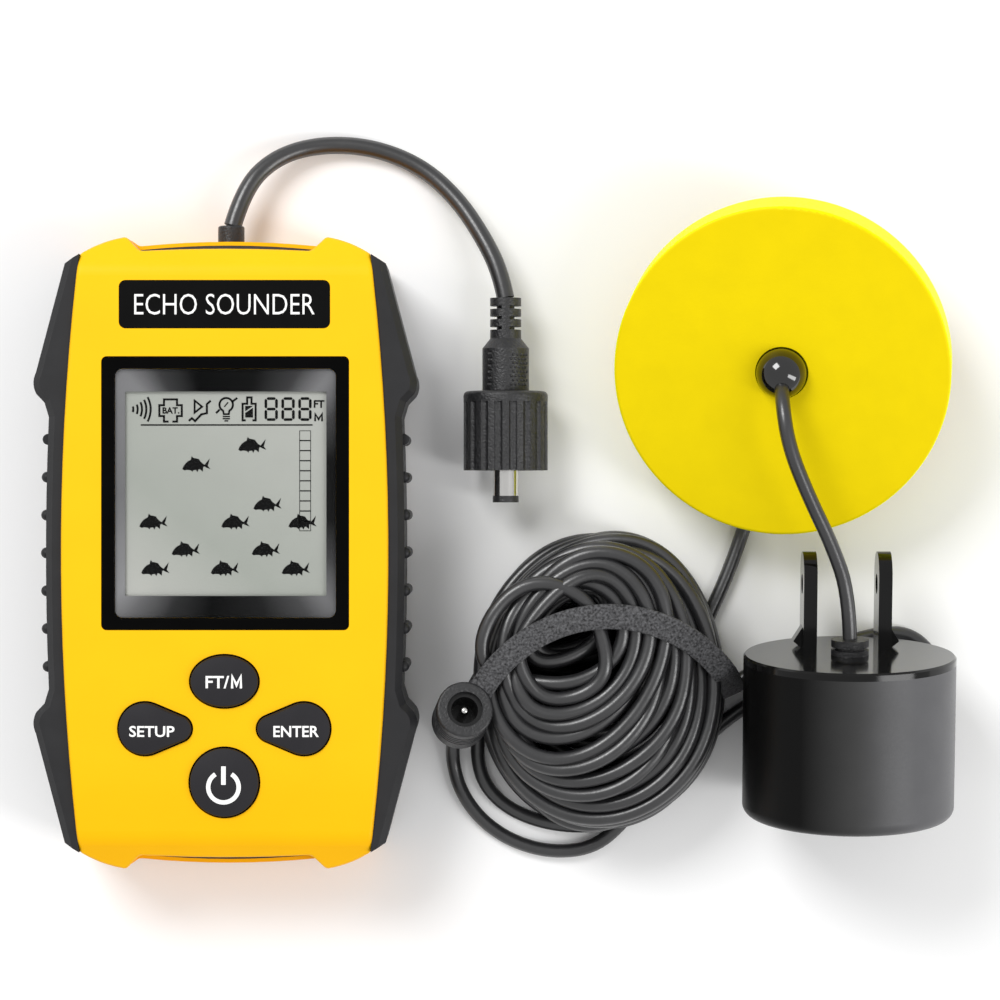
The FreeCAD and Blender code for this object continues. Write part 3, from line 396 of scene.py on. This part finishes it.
# Where the turns before and after that strand begin and end, in parts of a turn, and the stray turn in each.
# LOOSE is counted from the first turn on top, and CRESCENT and both lots' ends from their last turn.
SHELL_BEGIN, SHELL_END = 0.56, 0.9
LOOSE_BEGIN, LOOSE_END = 0.9, 1.75
LAST_BEGIN, LAST_END = 0.68, 0.74
CRESCENT_BEGIN, CRESCENT_END = -0.25, 0.28
BOTTOM_SHARE, OUTER_SHARE = 0.52, 0.4         # the slot that each lot starts in, as a share of all slots
STRAY_BLEND = 0.12                  # how soon a stray turn leaves the others, as a part of a turn
# How far each turn wanders: across the section, along the inner and outer turns, sideways, and in phase
SWAY_MOST = 1.8
ACROSS_SWAY, INNER_SWAY, OUTER_SWAY, X_SWAY, Y_SWAY, PHASE_SWAY = 0.03, 0.02, 0.03, 0.8, 1.6, 0.3
SEED = 12

RELAX_STEPS = 200
PAIR_EVERY = 10                     # steps between searches for strands near each other
PAIR_REACH = 2.2 * CABLE_D
PAIR_SKIP = 4                       # points nearer than this along the cord aren't a pair
STIFFNESS = 0.4
HOME_PULL = 0.012                   # how strongly a point is drawn back to where it started
SMOOTH_STEPS = 12

STRAP_ARC = (79.5, -43.5, 30.5)     # the strap's path seen from above: centre x, y and radius
STRAP_W = 5.2
STRAP_T = 0.9
STRAP_LOW_Y = -36.0                 # its arc is only followed beyond this
STRAP_GAP = 0.05                    # between it and a strand or the floor
STRAP_MARGIN = 0.6                  # a strand this far past its edge still holds it off
STRAP_CORNER = 0.2
STRAP_DOME = 1.08                   # its middle stands this much prouder than its edges
STRAP_POINTS = 220
STRAP_ROOM, STRAP_ROOM_Y = 5, -30   # strands this near its arc, beyond this y, leave room for it below them


def section_slots(count, width, crown):
    """Places spaced round a hank section as (across 0 to 1, z), from the hole's top edge outwards."""
    height = HANK_HIGH - HANK_LOW
    top = [(u, HANK_LOW + height * (1 - crown * u ** CROWN_POWER))
           for u in np.linspace(0.05, 0.93, TOP_POINTS)]
    outer_high, outer_low = top[-1][1] - 0.06 * height, HANK_LOW + 0.04 * height
    outer = [(1.0, z) for z in np.linspace(outer_high, outer_low, OUTER_POINTS)]
    bottom = [(u, HANK_LOW) for u in np.linspace(0.95, 0.06, BOTTOM_POINTS)]
    inner = [(HOLE_FOOT * (v - 1), HANK_LOW + height * v) for v in np.linspace(0.05, 0.94, INNER_POINTS)]
    points = np.array(top + outer + bottom + inner)
    lengths = np.hypot(np.diff(points[:, 0]) * width, np.diff(points[:, 1]))
    far = np.concatenate([[0], np.cumsum(lengths)])
    places = np.linspace(0, far[-1], count, endpoint=False)
    return np.column_stack([np.interp(places, far, points[:, i]) for i in (0, 1)])


def between(rows, place):
    """Rows read at a place between whole numbers, going round."""
    k = int(place)
    part = place - k
    return rows[k % len(rows)] * (1 - part) + rows[(k + 1) % len(rows)] * part


def on_loop(knots, turn):
    """A point on the smooth closed curve through the knots; turn 0 and 1 are the first knot."""
    knots = np.array(knots)
    count = len(knots)
    place = turn % 1 * count
    k = int(place)
    f = place - k
    a, b, c, d = (knots[(k + i) % count] for i in (-1, 0, 1, 2))
    # Catmull and Rom's cubic
    return 0.5 * (2 * b + (c - a) * f + (2 * a - 5 * b + 4 * c - d) * f ** 2
                  + (3 * b - a - 3 * c + d) * f ** 3)


def smooth_step(value):
    """0 to 1 with a level start and end, for a value of 0 to 1."""
    value = min(max(value, 0), 1)
    return value * value * (3 - 2 * value)


def wound(first_slot, begin, end, rng, stray_knots, stray_begin, stray_end):
    """Clockwise turns, bunched at the upper left, one part of which follows its own knots.

    Gives the points, and for each whether the strap may tie it.
    """
    wide_slots = section_slots(SHELL_TURNS, WIDE_SIDE, WIDE_CROWN)
    tight_slots = section_slots(SHELL_TURNS, TIGHT_SIDE, TIGHT_CROWN)
    sway = rng.normal(0, 1, (int(end - begin) + 3, 6)).clip(-SWAY_MOST, SWAY_MOST)
    points = []
    tied = []
    for turn in np.arange(begin, end, 1 / TURN_POINTS):
        wide = 0.5 - 0.5 * math.cos(2 * math.pi * (turn - TIGHT_TURN))
        place = first_slot + turn - begin
        slot = between(tight_slots, place) * (1 - wide) + between(wide_slots, place) * wide
        bend = between(sway, turn - begin)
        across = min(slot[0] + ACROSS_SWAY * bend[0], 1)
        inner = on_loop(INNER_TURN, turn + INNER_SWAY * bend[1])
        outer = on_loop(OUTER_TURN, turn + OUTER_SWAY * bend[2])
        x, y = inner + (outer - inner) * across
        swing = 2 * math.pi * (turn + PHASE_SWAY * bend[5])
        x += X_SWAY * bend[3] * math.cos(swing)
        y += Y_SWAY * bend[4] * wide * math.sin(swing)
        point = np.array((x, y, slot[1]))
        stray = smooth_step(min(turn - stray_begin, stray_end - turn) / STRAY_BLEND)
        if stray > 0:
            point += (on_loop(stray_knots, turn) - point) * stray
        points.append(point)
        tied.append(stray == 0)
    return np.array(points), tied


def strap_zone(points):
    """How far points are from the strap's arc, to either side, in millimetres."""
    x, y, radius = STRAP_ARC
    return np.abs(np.hypot(points[:, 0] - x, points[:, 1] - y) - radius)


def relaxed(points, free):
    """Pushes a cord's free points out of each other, while they keep to the hank and run smoothly."""
    points = points.copy()
    start = points.copy()
    count = len(points)
    over_strap = (strap_zone(points) < STRAP_ROOM) & (points[:, 1] > STRAP_ROOM_Y)
    floor = np.where(over_strap, CABLE_D / 2 + STRAP_T + 2 * STRAP_GAP, CABLE_D / 2)
    for step in range(RELAX_STEPS):
        if step % PAIR_EVERY == 0:
            gap = sum((points[:, None, i] - points[None, :, i]) ** 2 for i in range(3))
            a, b = np.nonzero(gap < PAIR_REACH ** 2)
            apart_on_cord = b > a + PAIR_SKIP
            a, b = a[apart_on_cord], b[apart_on_cord]
        apart = points[a] - points[b]
        distance = np.sqrt((apart ** 2).sum(1)) + 1e-9
        push = (0.5 * np.maximum(CABLE_D - distance, 0) / distance)[:, None] * apart
        hits = 1 + sum(np.bincount(side, distance < CABLE_D, count) for side in (a, b))
        move = np.column_stack([np.bincount(a, push[:, i], count) - np.bincount(b, push[:, i], count)
                                for i in range(3)])
        move /= np.sqrt(hits)[:, None]
        stiff = np.zeros_like(points)
        stiff[2:-2] = (4 * (points[1:-3] + points[3:-1]) - points[:-4] - points[4:]) / 6 - points[2:-2]
        move += STIFFNESS * stiff + HOME_PULL * (start - points)
        points[free] += move[free]
        points[free, 2] = np.clip(points[free, 2], floor[free], HANK_TOP)
    for _ in range(SMOOTH_STEPS):
        middle = (points[:-2] + points[2:]) / 2 - points[1:-1]
        points[1:-1][free[1:-1]] += 0.5 * middle[free[1:-1]]
    return points


def wind_sonar_cable():
    """The cable's control points, from the transducer to the socket, and the points that may be tied."""
    rng = np.random.default_rng(SEED)
    bottom = int(SHELL_TURNS * BOTTOM_SHARE)
    top = SHELL_TURNS - bottom
    shell, shell_tied = wound(bottom, SHELL_BEGIN, SHELL_END + SHELL_TURNS, rng,
                              LOOSE_TURN, top + LOOSE_BEGIN, top + LOOSE_END)
    outer = int(SHELL_TURNS * OUTER_SHARE)
    last, last_tied = wound(outer, LAST_BEGIN, LAST_END + LAST_TURNS, rng,
                            CRESCENT_TURN, LAST_TURNS + CRESCENT_BEGIN, LAST_TURNS + CRESCENT_END)
    blocks = [(LEAD_ROUTE[::-1], None), (REAR_ROUTE[1:], None), (shell, shell_tied), (UNDER_ROUTE, None),
              (STRAY_ROUTE[::-1], None), (last, last_tied), (TAIL_ROUTE[::-1], None)]
    free = np.concatenate([[tied is not None] * len(block) for block, tied in blocks])
    tied = np.concatenate([[False] * len(block) if tied is None else tied for block, tied in blocks])
    settled = relaxed(np.vstack([block for block, _ in blocks]), free)
    chosen = []
    place = 0
    for block, ties in blocks:
        part = settled[place:place + len(block)]
        place += len(block)
        chosen.append(part if ties is None else part[1::2])
    return np.vstack(chosen), settled[tied]


def spline_cord(name, points, diameter, mat, steps):
    """A round cord along one NURBS spline. Points and diameter are in millimetres."""
    data = bpy.data.curves.new(name, "CURVE")
    data.dimensions = "3D"
    data.bevel_depth = diameter / 2 * MM
    data.bevel_resolution = 3
    data.resolution_u = steps
    data.use_fill_caps = True
    spline = data.splines.new("NURBS")
    spline.points.add(len(points) - 1)
    for target, point in zip(spline.points, points):
        target.co = (*(Vector(point) * MM), 1)
    spline.order_u = 3
    spline.use_endpoint_u = True
    spline.resolution_u = steps
    data.materials.append(mat)
    return linked(name, data)


def hull(points):
    """The corners of the convex hull of 2-D points, anticlockwise."""
    points = sorted(set(map(tuple, points)))
    sides = []
    for ordered in (points, points[::-1]):
        side = []
        for p in ordered:
            while len(side) > 1 and ((side[-1][0] - side[-2][0]) * (p[1] - side[-2][1])
                                     <= (side[-1][1] - side[-2][1]) * (p[0] - side[-2][0])):
                side.pop()
            side.append(p)
        sides.append(side[:-1])
    return np.array(sides[0] + sides[1])


def evenly(corners, count):
    """Points at even spacing round a closed polygon."""
    closed = np.vstack([corners, corners[:1]])
    far = np.concatenate([[0], np.cumsum(np.linalg.norm(np.diff(closed, axis=0), axis=1))])
    places = np.linspace(0, far[-1], count, endpoint=False)
    return np.column_stack([np.interp(places, far, closed[:, i]) for i in (0, 1)])


def make_strap(tied):
    """The hook-and-loop strap, drawn tight round the tied turns along its arc."""
    x, y, radius = STRAP_ARC
    near = tied[(strap_zone(tied) < STRAP_W / 2 + STRAP_MARGIN) & (tied[:, 1] > STRAP_LOW_Y)]
    angles = np.arctan2(near[:, 0] - x, near[:, 1] - y)
    reach = CABLE_D / 2 + STRAP_T / 2 + STRAP_GAP
    discs = [(radius * angle + reach * math.cos(a), z + reach * math.sin(a))
             for angle, z in zip(angles, near[:, 2]) for a in np.linspace(0, 2 * math.pi, 24, endpoint=False)]
    path = evenly(hull(discs), STRAP_POINTS)
    path[:, 1] = path[:, 1].clip(STRAP_T / 2 + STRAP_GAP, None)
    ahead = np.roll(path, -1, axis=0) - np.roll(path, 1, axis=0)
    normals = np.column_stack([ahead[:, 1], -ahead[:, 0]]) / np.linalg.norm(ahead, axis=1)[:, None]
    # Round the strap's section: across its width and off its middle, in millimetres
    half_w, half_t, corner = STRAP_W / 2, STRAP_T / 2, STRAP_CORNER
    section = [(-half_w, -0.5 * half_t), (-half_w + corner, -half_t), (half_w - corner, -half_t),
               (half_w, -0.5 * half_t), (half_w, 0.5 * half_t), (half_w - corner, half_t),
               (0, half_t * STRAP_DOME), (-half_w + corner, half_t), (-half_w, 0.5 * half_t)]
    mesh = bpy.data.meshes.new("strap")
    bm = bmesh.new()
    rings = []
    for (arc, z), normal in zip(path, normals):
        ring = []
        for wide, off in section:
            angle = (arc + normal[0] * off) / radius
            r = radius + wide
            ring.append(bm.verts.new(Vector((x + r * math.sin(angle), y + r * math.cos(angle),
                                             z + normal[1] * off)) * MM))
        rings.append(ring)
    for ring, following in zip(rings, rings[1:] + rings[:1]):
        for i in range(len(section)):
            j = (i + 1) % len(section)
            bm.faces.new((ring[i], ring[j], following[j], following[i]))
    bmesh.ops.recalc_face_normals(bm, faces=bm.faces)
    bm.to_mesh(mesh)
    bm.free()
    for face in mesh.polygons:
        face.use_smooth = True
    mesh.materials.append(material("hook_loop"))
    strap = linked("strap", mesh)
    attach(strap, SONAR)
    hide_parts("hank_strap")
    return strap


PLUG_R = 4.95
DOT_ROWS, DOT_COLUMNS = 8, 5
DOT_R = 0.3
DOT_LOW_Y, DOT_PITCH = 35.4, 0.9
DOT_ANGLE, DOT_TURN = 14, 11        # degrees from the plug's top to the first column, and between columns


def make_plug_dots():
    """Rows of grip dots on the plug's right side. Every second row is half a column further on."""
    axis_x, _, axis_z = PIGTAIL_ROUTE[-1]
    mesh = bpy.data.meshes.new("plug_dots")
    bm = bmesh.new()
    for row in range(DOT_ROWS):
        for column in range(DOT_COLUMNS):
            angle = math.radians(DOT_ANGLE + DOT_TURN * column + DOT_TURN / 2 * (row % 2))
            place = Vector((axis_x + PLUG_R * math.sin(angle), DOT_LOW_Y + DOT_PITCH * row,
                            axis_z + PLUG_R * math.cos(angle)))
            made = bmesh.ops.create_uvsphere(bm, u_segments=10, v_segments=6, radius=DOT_R * MM)
            bmesh.ops.translate(bm, verts=made["verts"], vec=place * MM)
    bm.to_mesh(mesh)
    bm.free()
    mesh.materials.append(material("plug_black"))
    dots = linked("plug_dots", mesh)
    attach(dots, HANDSET)
    return dots


def make_cords():
    """Both cords, with the pieces that are on them."""
    pigtail = spline_cord("pigtail", PIGTAIL_ROUTE, PIGTAIL_D, material("cable_pvc"), PIGTAIL_STEPS)
    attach(pigtail, HANDSET)
    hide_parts("pigtail_cable")
    make_plug_dots()
    points, tied = wind_sonar_cable()
    cable = spline_cord("sonar_cable", points, CABLE_D, material("cable_pvc"), CABLE_STEPS)
    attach(cable, SONAR)
    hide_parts("cable_lead", "cable_rear", "cable_stray", "cable_tail", "cable_hank")
    make_strap(tied)


make_cords()


# Print: legends and display symbols, in millimetres

ABOVE_ALL = 100 * MM
WELD = 0.0005
SPLIT_PASSES = 4                    # each halves the edges that are still too long
LONG_EDGE = 1.1                     # the longest edge of print that follows a domed key
UNSPLIT = 50                        # longer than any edge of flat print, so none is split
SHARP_CORNER = 0.45                 # the least a corner is taken to open, so that its point stays short


def surface(node):
    """The height of a node's top at (x, y)."""
    mesh = NODES[node].data
    tree = BVHTree.FromPolygons([v.co for v in mesh.vertices], [p.vertices[:] for p in mesh.polygons])

    def height(x, y):
        return tree.ray_cast(Vector((x, y, ABOVE_ALL)), Vector((0, 0, -1)))[0].z
    return height


def meshed(data):
    """A mesh of a curve or text, which is then thrown away."""
    temporary = linked("temporary", data)
    evaluated = temporary.evaluated_get(bpy.context.evaluated_depsgraph_get())
    mesh = bpy.data.meshes.new_from_object(evaluated)
    bpy.data.objects.remove(temporary)
    return mesh


def word_mesh(words, width, height, centre, bold):
    """Raised letters of that size, their strokes thickened by bold: z goes from -0.5 to 0.5."""
    data = bpy.data.curves.new("words", "FONT")
    data.body = words
    data.extrude = 0.5
    data.offset = bold
    data.resolution_u = 3
    mesh = meshed(data)
    places = np.array([v.co for v in mesh.vertices])
    low, high = places.min(0), places.max(0)
    middle = (low + high) / 2
    size = (high - low)[:2]
    for vertex in mesh.vertices:
        vertex.co.x = centre[0] + (vertex.co.x - middle[0]) * width / size[0]
        vertex.co.y = centre[1] + (vertex.co.y - middle[1]) * height / size[1]
    return mesh


def shape_mesh(outlines):
    """Flat shapes from closed outlines, z from -0.5 to 0.5. An outline inside another is a hole."""
    data = bpy.data.curves.new("shapes", "CURVE")
    data.dimensions = "2D"
    data.fill_mode = "BOTH"
    data.extrude = 0.5
    for outline in outlines:
        spline = data.splines.new("POLY")
        spline.points.add(len(outline) - 1)
        for target, point in zip(spline.points, outline):
            target.co = (point[0], point[1], 0, 1)
        spline.use_cyclic_u = True
    return meshed(data)


def line(points, width, closed=False):
    """The outlines of a line: one for an open line, two for a closed one."""
    count = len(points)
    left, right = [], []
    for i in range(count):
        here = Vector(points[i])
        before = here - Vector(points[i - 1])
        after = Vector(points[(i + 1) % count]) - here
        if not closed:
            before = after if i == 0 else before
            after = before if i == count - 1 else after
        before.normalize()
        after.normalize()
        side = Vector((-before.y - after.y, before.x + after.x)).normalized()
        side *= width / 2 / max(side.dot(Vector((-after.y, after.x))), SHARP_CORNER)
        left.append(tuple(here + side))
        right.append(tuple(here - side))
    return [left, right] if closed else [left + right[::-1]]


def arc(centre, radius, start, stop, count):
    """Points along an arc between two angles in degrees."""
    return [(centre[0] + radius * math.cos(a), centre[1] + radius * math.sin(a))
            for a in np.radians(np.linspace(start, stop, count))]


def letter_m(x, y, width, height, stroke):
    """An M round a middle point, as a line."""
    half_w, half_h = (width - stroke) / 2, height / 2
    return line([(x - half_w, y - half_h), (x - half_w, y + half_h - 0.1 * stroke), (x, y - half_h * 0.5),
                 (x + half_w, y + half_h - 0.1 * stroke), (x + half_w, y - half_h)], stroke)


def printed(name, meshes, height, body, ink, rise=0.05, longest=LONG_EDGE):
    """One piece from flat meshes, laid at height(x, y) in metres, with no edge much longer than longest."""
    bm = bmesh.new()
    for mesh in meshes:
        bm.from_mesh(mesh)
        bpy.data.meshes.remove(mesh)
    bmesh.ops.remove_doubles(bm, verts=bm.verts, dist=WELD)
    bmesh.ops.dissolve_degenerate(bm, edges=bm.edges, dist=WELD)
    bmesh.ops.triangulate(bm, faces=bm.faces)
    for _ in range(SPLIT_PASSES):
        long_edges = [edge for edge in bm.edges if (edge.verts[0].co - edge.verts[1].co).xy.length > longest]
        if long_edges:
            bmesh.ops.subdivide_edges(bm, edges=long_edges, cuts=1)
            bmesh.ops.triangulate(bm, faces=[face for face in bm.faces if len(face.verts) > 3])
    bmesh.ops.recalc_face_normals(bm, faces=bm.faces)
    for vertex in bm.verts:
        x, y, z = vertex.co.x * MM, vertex.co.y * MM, vertex.co.z
        vertex.co = (x, y, height(x, y) + z * rise * MM)
    whole = bpy.data.meshes.new(name)
    bm.to_mesh(whole)
    bm.free()
    whole.materials.append(material(ink))
    piece = linked(name, whole)
    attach(piece, body)


def make_legends():
    """The title, the words on three keys and the power sign. The font's M breaks, so it is drawn."""
    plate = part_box("nameplate")[1][2]
    title = word_mesh("ECHO SOUNDER", 37.3, 4.3, (0, 51.5), -0.006)
    printed("nameplate_print", [title], lambda x, y: plate, HANDSET, "white_print",
            longest=UNSPLIT)
    for name, words, size, centre in (("ftm", "FT/", (4.9, 2.6), (-1.35, -26.6)),
                                      ("setup", "SETUP", (9.4, 2.3), (-14.9, -36.8)),
                                      ("enter", "ENTER", (9.4, 2.3), (14.9, -36.8))):
        meshes = [word_mesh(words, *size, centre, 0.018)]
        if name == "ftm":
            meshes.append(shape_mesh(letter_m(2.6, centre[1], 2.3, size[1], 0.5)))
        printed(name + "_print", meshes, surface(name + "_key"), name + "_key", "white_print")
    centre = (-0.1, -48.3)
    ring = line(arc(centre, 3.15, 122, 418, 40), 0.9)
    bar = line([(centre[0], centre[1] + 0.5), (centre[0], centre[1] + 4.3)], 0.95)
    printed("power_print", [shape_mesh(ring), shape_mesh(bar)], surface("power_key"), "power_key",
            "white_print")


# A fish that faces left, from its middle, and its places on the display from the display's middle
FISH_SCALE = 1.05
FISH = [
    (-2.8, -0.95), (-2.55, -0.35), (-2.1, 0.25), (-1.6, 0.65), (-1.15, 0.85), (-0.95, 1.6), (-0.6, 1.25),
    (0.0, 1.15), (0.5, 1.0), (0.75, 0.6), (1.15, 0.2), (1.6, -0.1), (2.6, 1.15), (2.35, 0.1), (2.2, -0.25),
    (2.75, -0.95), (1.95, -0.65), (1.5, -0.4), (1.3, -0.6), (1.25, -1.45), (0.75, -1.05), (0.45, -0.95),
    (0.15, -1.55), (-0.1, -1.1), (-0.7, -1.2), (-0.75, -1.5), (-1.2, -1.15), (-1.9, -1.1), (-2.4, -1.2),
]
FISH_PLACES = [
    (-6.1, 6.1), (5.5, 10.1), (8.65, -2.1), (-15.0, -5.8), (2.0, -5.8), (15.9, -5.8), (-8.3, -11.5),
    (8.3, -11.5), (-14.6, -15.45), (-0.2, -15.45), (14.5, -15.45),
]

SEGMENT_T = 0.55
SCALE_CELLS = 10


def digit(x, low, width, height):
    """An 8 of seven segments with gaps between them. Its lower left corner is (x, low)."""
    t = SEGMENT_T
    middle = low + height / 2
    right, top = x + width, low + height
    segments = []
    for y in (low + t / 2, middle, top - t / 2):
        segments.append([(x + 0.42, y), (x + 0.65, y - t / 2), (right - 0.65, y - t / 2), (right - 0.42, y),
                         (right - 0.65, y + t / 2), (x + 0.65, y + t / 2)])
    for side in (x + t / 2, right - t / 2):
        for bottom in (low + 0.3, middle + 0.12):
            top_end = bottom + height / 2 - 0.45
            segments.append([(side, bottom), (side + t / 2, bottom + 0.25), (side + t / 2, top_end - 0.25),
                             (side, top_end), (side - t / 2, top_end - 0.25), (side - t / 2, bottom + 0.25)])
    return segments


def lcd_meshes():
    """Every symbol, placed from the middle of the display."""
    groups = []
    # Sound waves
    for radius, half in ((1.8, 19), (2.7, 21), (3.6, 24), (4.5, 26), (5.4, 28)):
        groups.append(line(arc((-21.0, 17.5), radius, -half, half, 9), 0.42))
    # Battery sign, open at its foot
    cross = [(-11.9, 14.95), (-12.84, 14.95), (-12.84, 16.1), (-13.8, 16.1), (-13.8, 18.35), (-12.84, 18.35),
             (-12.84, 19.55), (-10.14, 19.55), (-10.14, 18.35), (-9.15, 18.35), (-9.15, 16.1), (-10.14, 16.1),
             (-10.14, 14.95), (-11.1, 14.95)]
    groups.append(line(cross, 0.42))
    # Sensitivity: a triangle over a slope
    groups.append(line([(-6.5, 19.3), (-6.5, 16.8), (-4.95, 18.05)], 0.4, True))
    groups.append(line([(-3.15, 19.3), (-3.95, 18.55), (-3.95, 16.7), (-5.1, 16.45), (-6.4, 15.05),
                        (-7.05, 15.65), (-7.7, 15.1)], 0.44))
    # Lamp: bulb, neck, filament, the ends of a stroke through it, and foot
    groups.append(line(arc((0.05, 18.45), 1.4, -62, 242, 24), 0.42))
    groups.append(line([(-0.6, 17.3), (-0.45, 16.5), (0.6, 16.5), (0.72, 17.3)], 0.38))
    groups.append(line([(-0.35, 18.0), (0.45, 18.95)], 0.25))
    groups.append(line([(-2.05, 16.7), (-1.3, 17.45)], 0.42))
    groups.append(line([(1.35, 19.1), (2.35, 19.85)], 0.42))
    for y, half in ((16.0, 0.75), (15.55, 0.75), (15.1, 0.4)):
        groups.append(line([(0.08 - half, y), (0.08 + half, y)], 0.28))
    # Cell: outline and two parts of its filling
    groups.append(line([(4.1, 15.2), (3.45, 15.2), (3.45, 18.65), (4.4, 18.65), (4.4, 19.95), (5.3, 19.95),
                        (5.3, 18.65), (6.15, 18.65), (6.15, 15.2), (5.5, 15.2)], 0.42))
    groups.append([[(4.0, 17.1), (5.6, 18.2), (4.0, 18.2)]])
    groups.append([[(4.0, 16.75), (4.0, 15.8), (5.6, 15.8), (5.6, 17.8)]])
    # Depth digits, the line under the top row, and the depth scale
    for x in (8.0, 11.5, 15.0):
        groups += [[segment] for segment in digit(x, 15.1, 2.75, 4.9)]
    groups.append(line([(-17.65, 14.25), (17.95, 14.25)], 0.3))
    left, right, low, cell, edge = 15.22, 17.62, -7.75, 2.085, 0.12
    for row in range(SCALE_CELLS):
        bottom = low + row * cell
        groups.append([[(left, bottom), (right, bottom), (right, bottom + cell), (left, bottom + cell)],
                       [(left + edge, bottom + edge), (right - edge, bottom + edge),
                        (right - edge, bottom + cell - edge), (left + edge, bottom + cell - edge)]])
    groups += [[[(x + FISH_SCALE * dx, y + FISH_SCALE * dy) for dx, dy in FISH]] for x, y in FISH_PLACES]
    groups.append(letter_m(19.2, 15.8, 1.8, 1.55, 0.38))
    middle_x, middle_y = LCD_CENTRE
    meshes = [shape_mesh([[(x + middle_x, y + middle_y) for x, y in outline] for outline in group])
              for group in groups]
    for words, width, height, x, y, bold in (("BAT.", 3.5, 1.35, -11.4, 17.25, 0.03),
                                             ("FT", 2.2, 1.6, 19.3, 18.6, 0.035)):
        meshes.append(word_mesh(words, width, height, (x + middle_x, y + middle_y), bold))
    return meshes


INK_T = 0.03


def make_display():
    """The symbols, on the panel under the window."""
    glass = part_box("lcd_panel")[1][2] + INK_T * MM
    printed("display_symbols", lcd_meshes(), lambda x, y: glass, HANDSET, "lcd_ink",
            rise=INK_T, longest=UNSPLIT)


make_legends()
make_display()


# Stage

FLOOR_HALF = 3.0                    # metres
FLOOR_DROP = 0.05
FLOOR_GREY = 0.92
WORLD_STRENGTH = 0.68


def make_stage():
    """A pale floor just under the object, and a white world."""
    scene = bpy.context.scene
    scene.view_settings.view_transform = "Standard"
    half = FLOOR_HALF
    mesh = bpy.data.meshes.new("floor")
    corners = [(-half, -half, 0), (half, -half, 0), (half, half, 0), (-half, half, 0)]
    mesh.from_pydata(corners, [], [(0, 1, 2, 3)])
    floor = linked("floor", mesh)
    floor.location.z = -FLOOR_DROP * MM
    mat, _, shader = bare("floor")
    shader.inputs["Base Color"].default_value = (FLOOR_GREY, FLOOR_GREY, FLOOR_GREY, 1)
    shader.inputs["Roughness"].default_value = 0.9
    shader.inputs["Specular IOR Level"].default_value = 0.1
    mesh.materials.append(mat)
    world = bpy.data.worlds.new("world")
    scene.world = world
    world.use_nodes = True
    background = world.node_tree.nodes["Background"]
    background.inputs["Color"].default_value = (1.0, 1.0, 1.0, 1)
    background.inputs["Strength"].default_value = WORLD_STRENGTH


def area_light(name, place, aim, size, power):
    """A soft lamp; place, aim and size are in metres and power is in watts."""
    data = bpy.data.lights.new(name, "AREA")
    data.shape = "RECTANGLE"
    data.size, data.size_y = size
    data.energy = power
    light = linked(name, data)
    light.location = place
    light.rotation_euler = (Vector(aim) - Vector(place)).to_track_quat("-Z", "Y").to_euler()


make_stage()
area_light("key", (-0.55, 0.75, 1.1), (0.05, 0.0, 0.0), (0.6, 0.6), 12)
area_light("fill", (0.95, -0.35, 0.8), (0.08, 0.0, 0.0), (0.3, 0.9), 6)
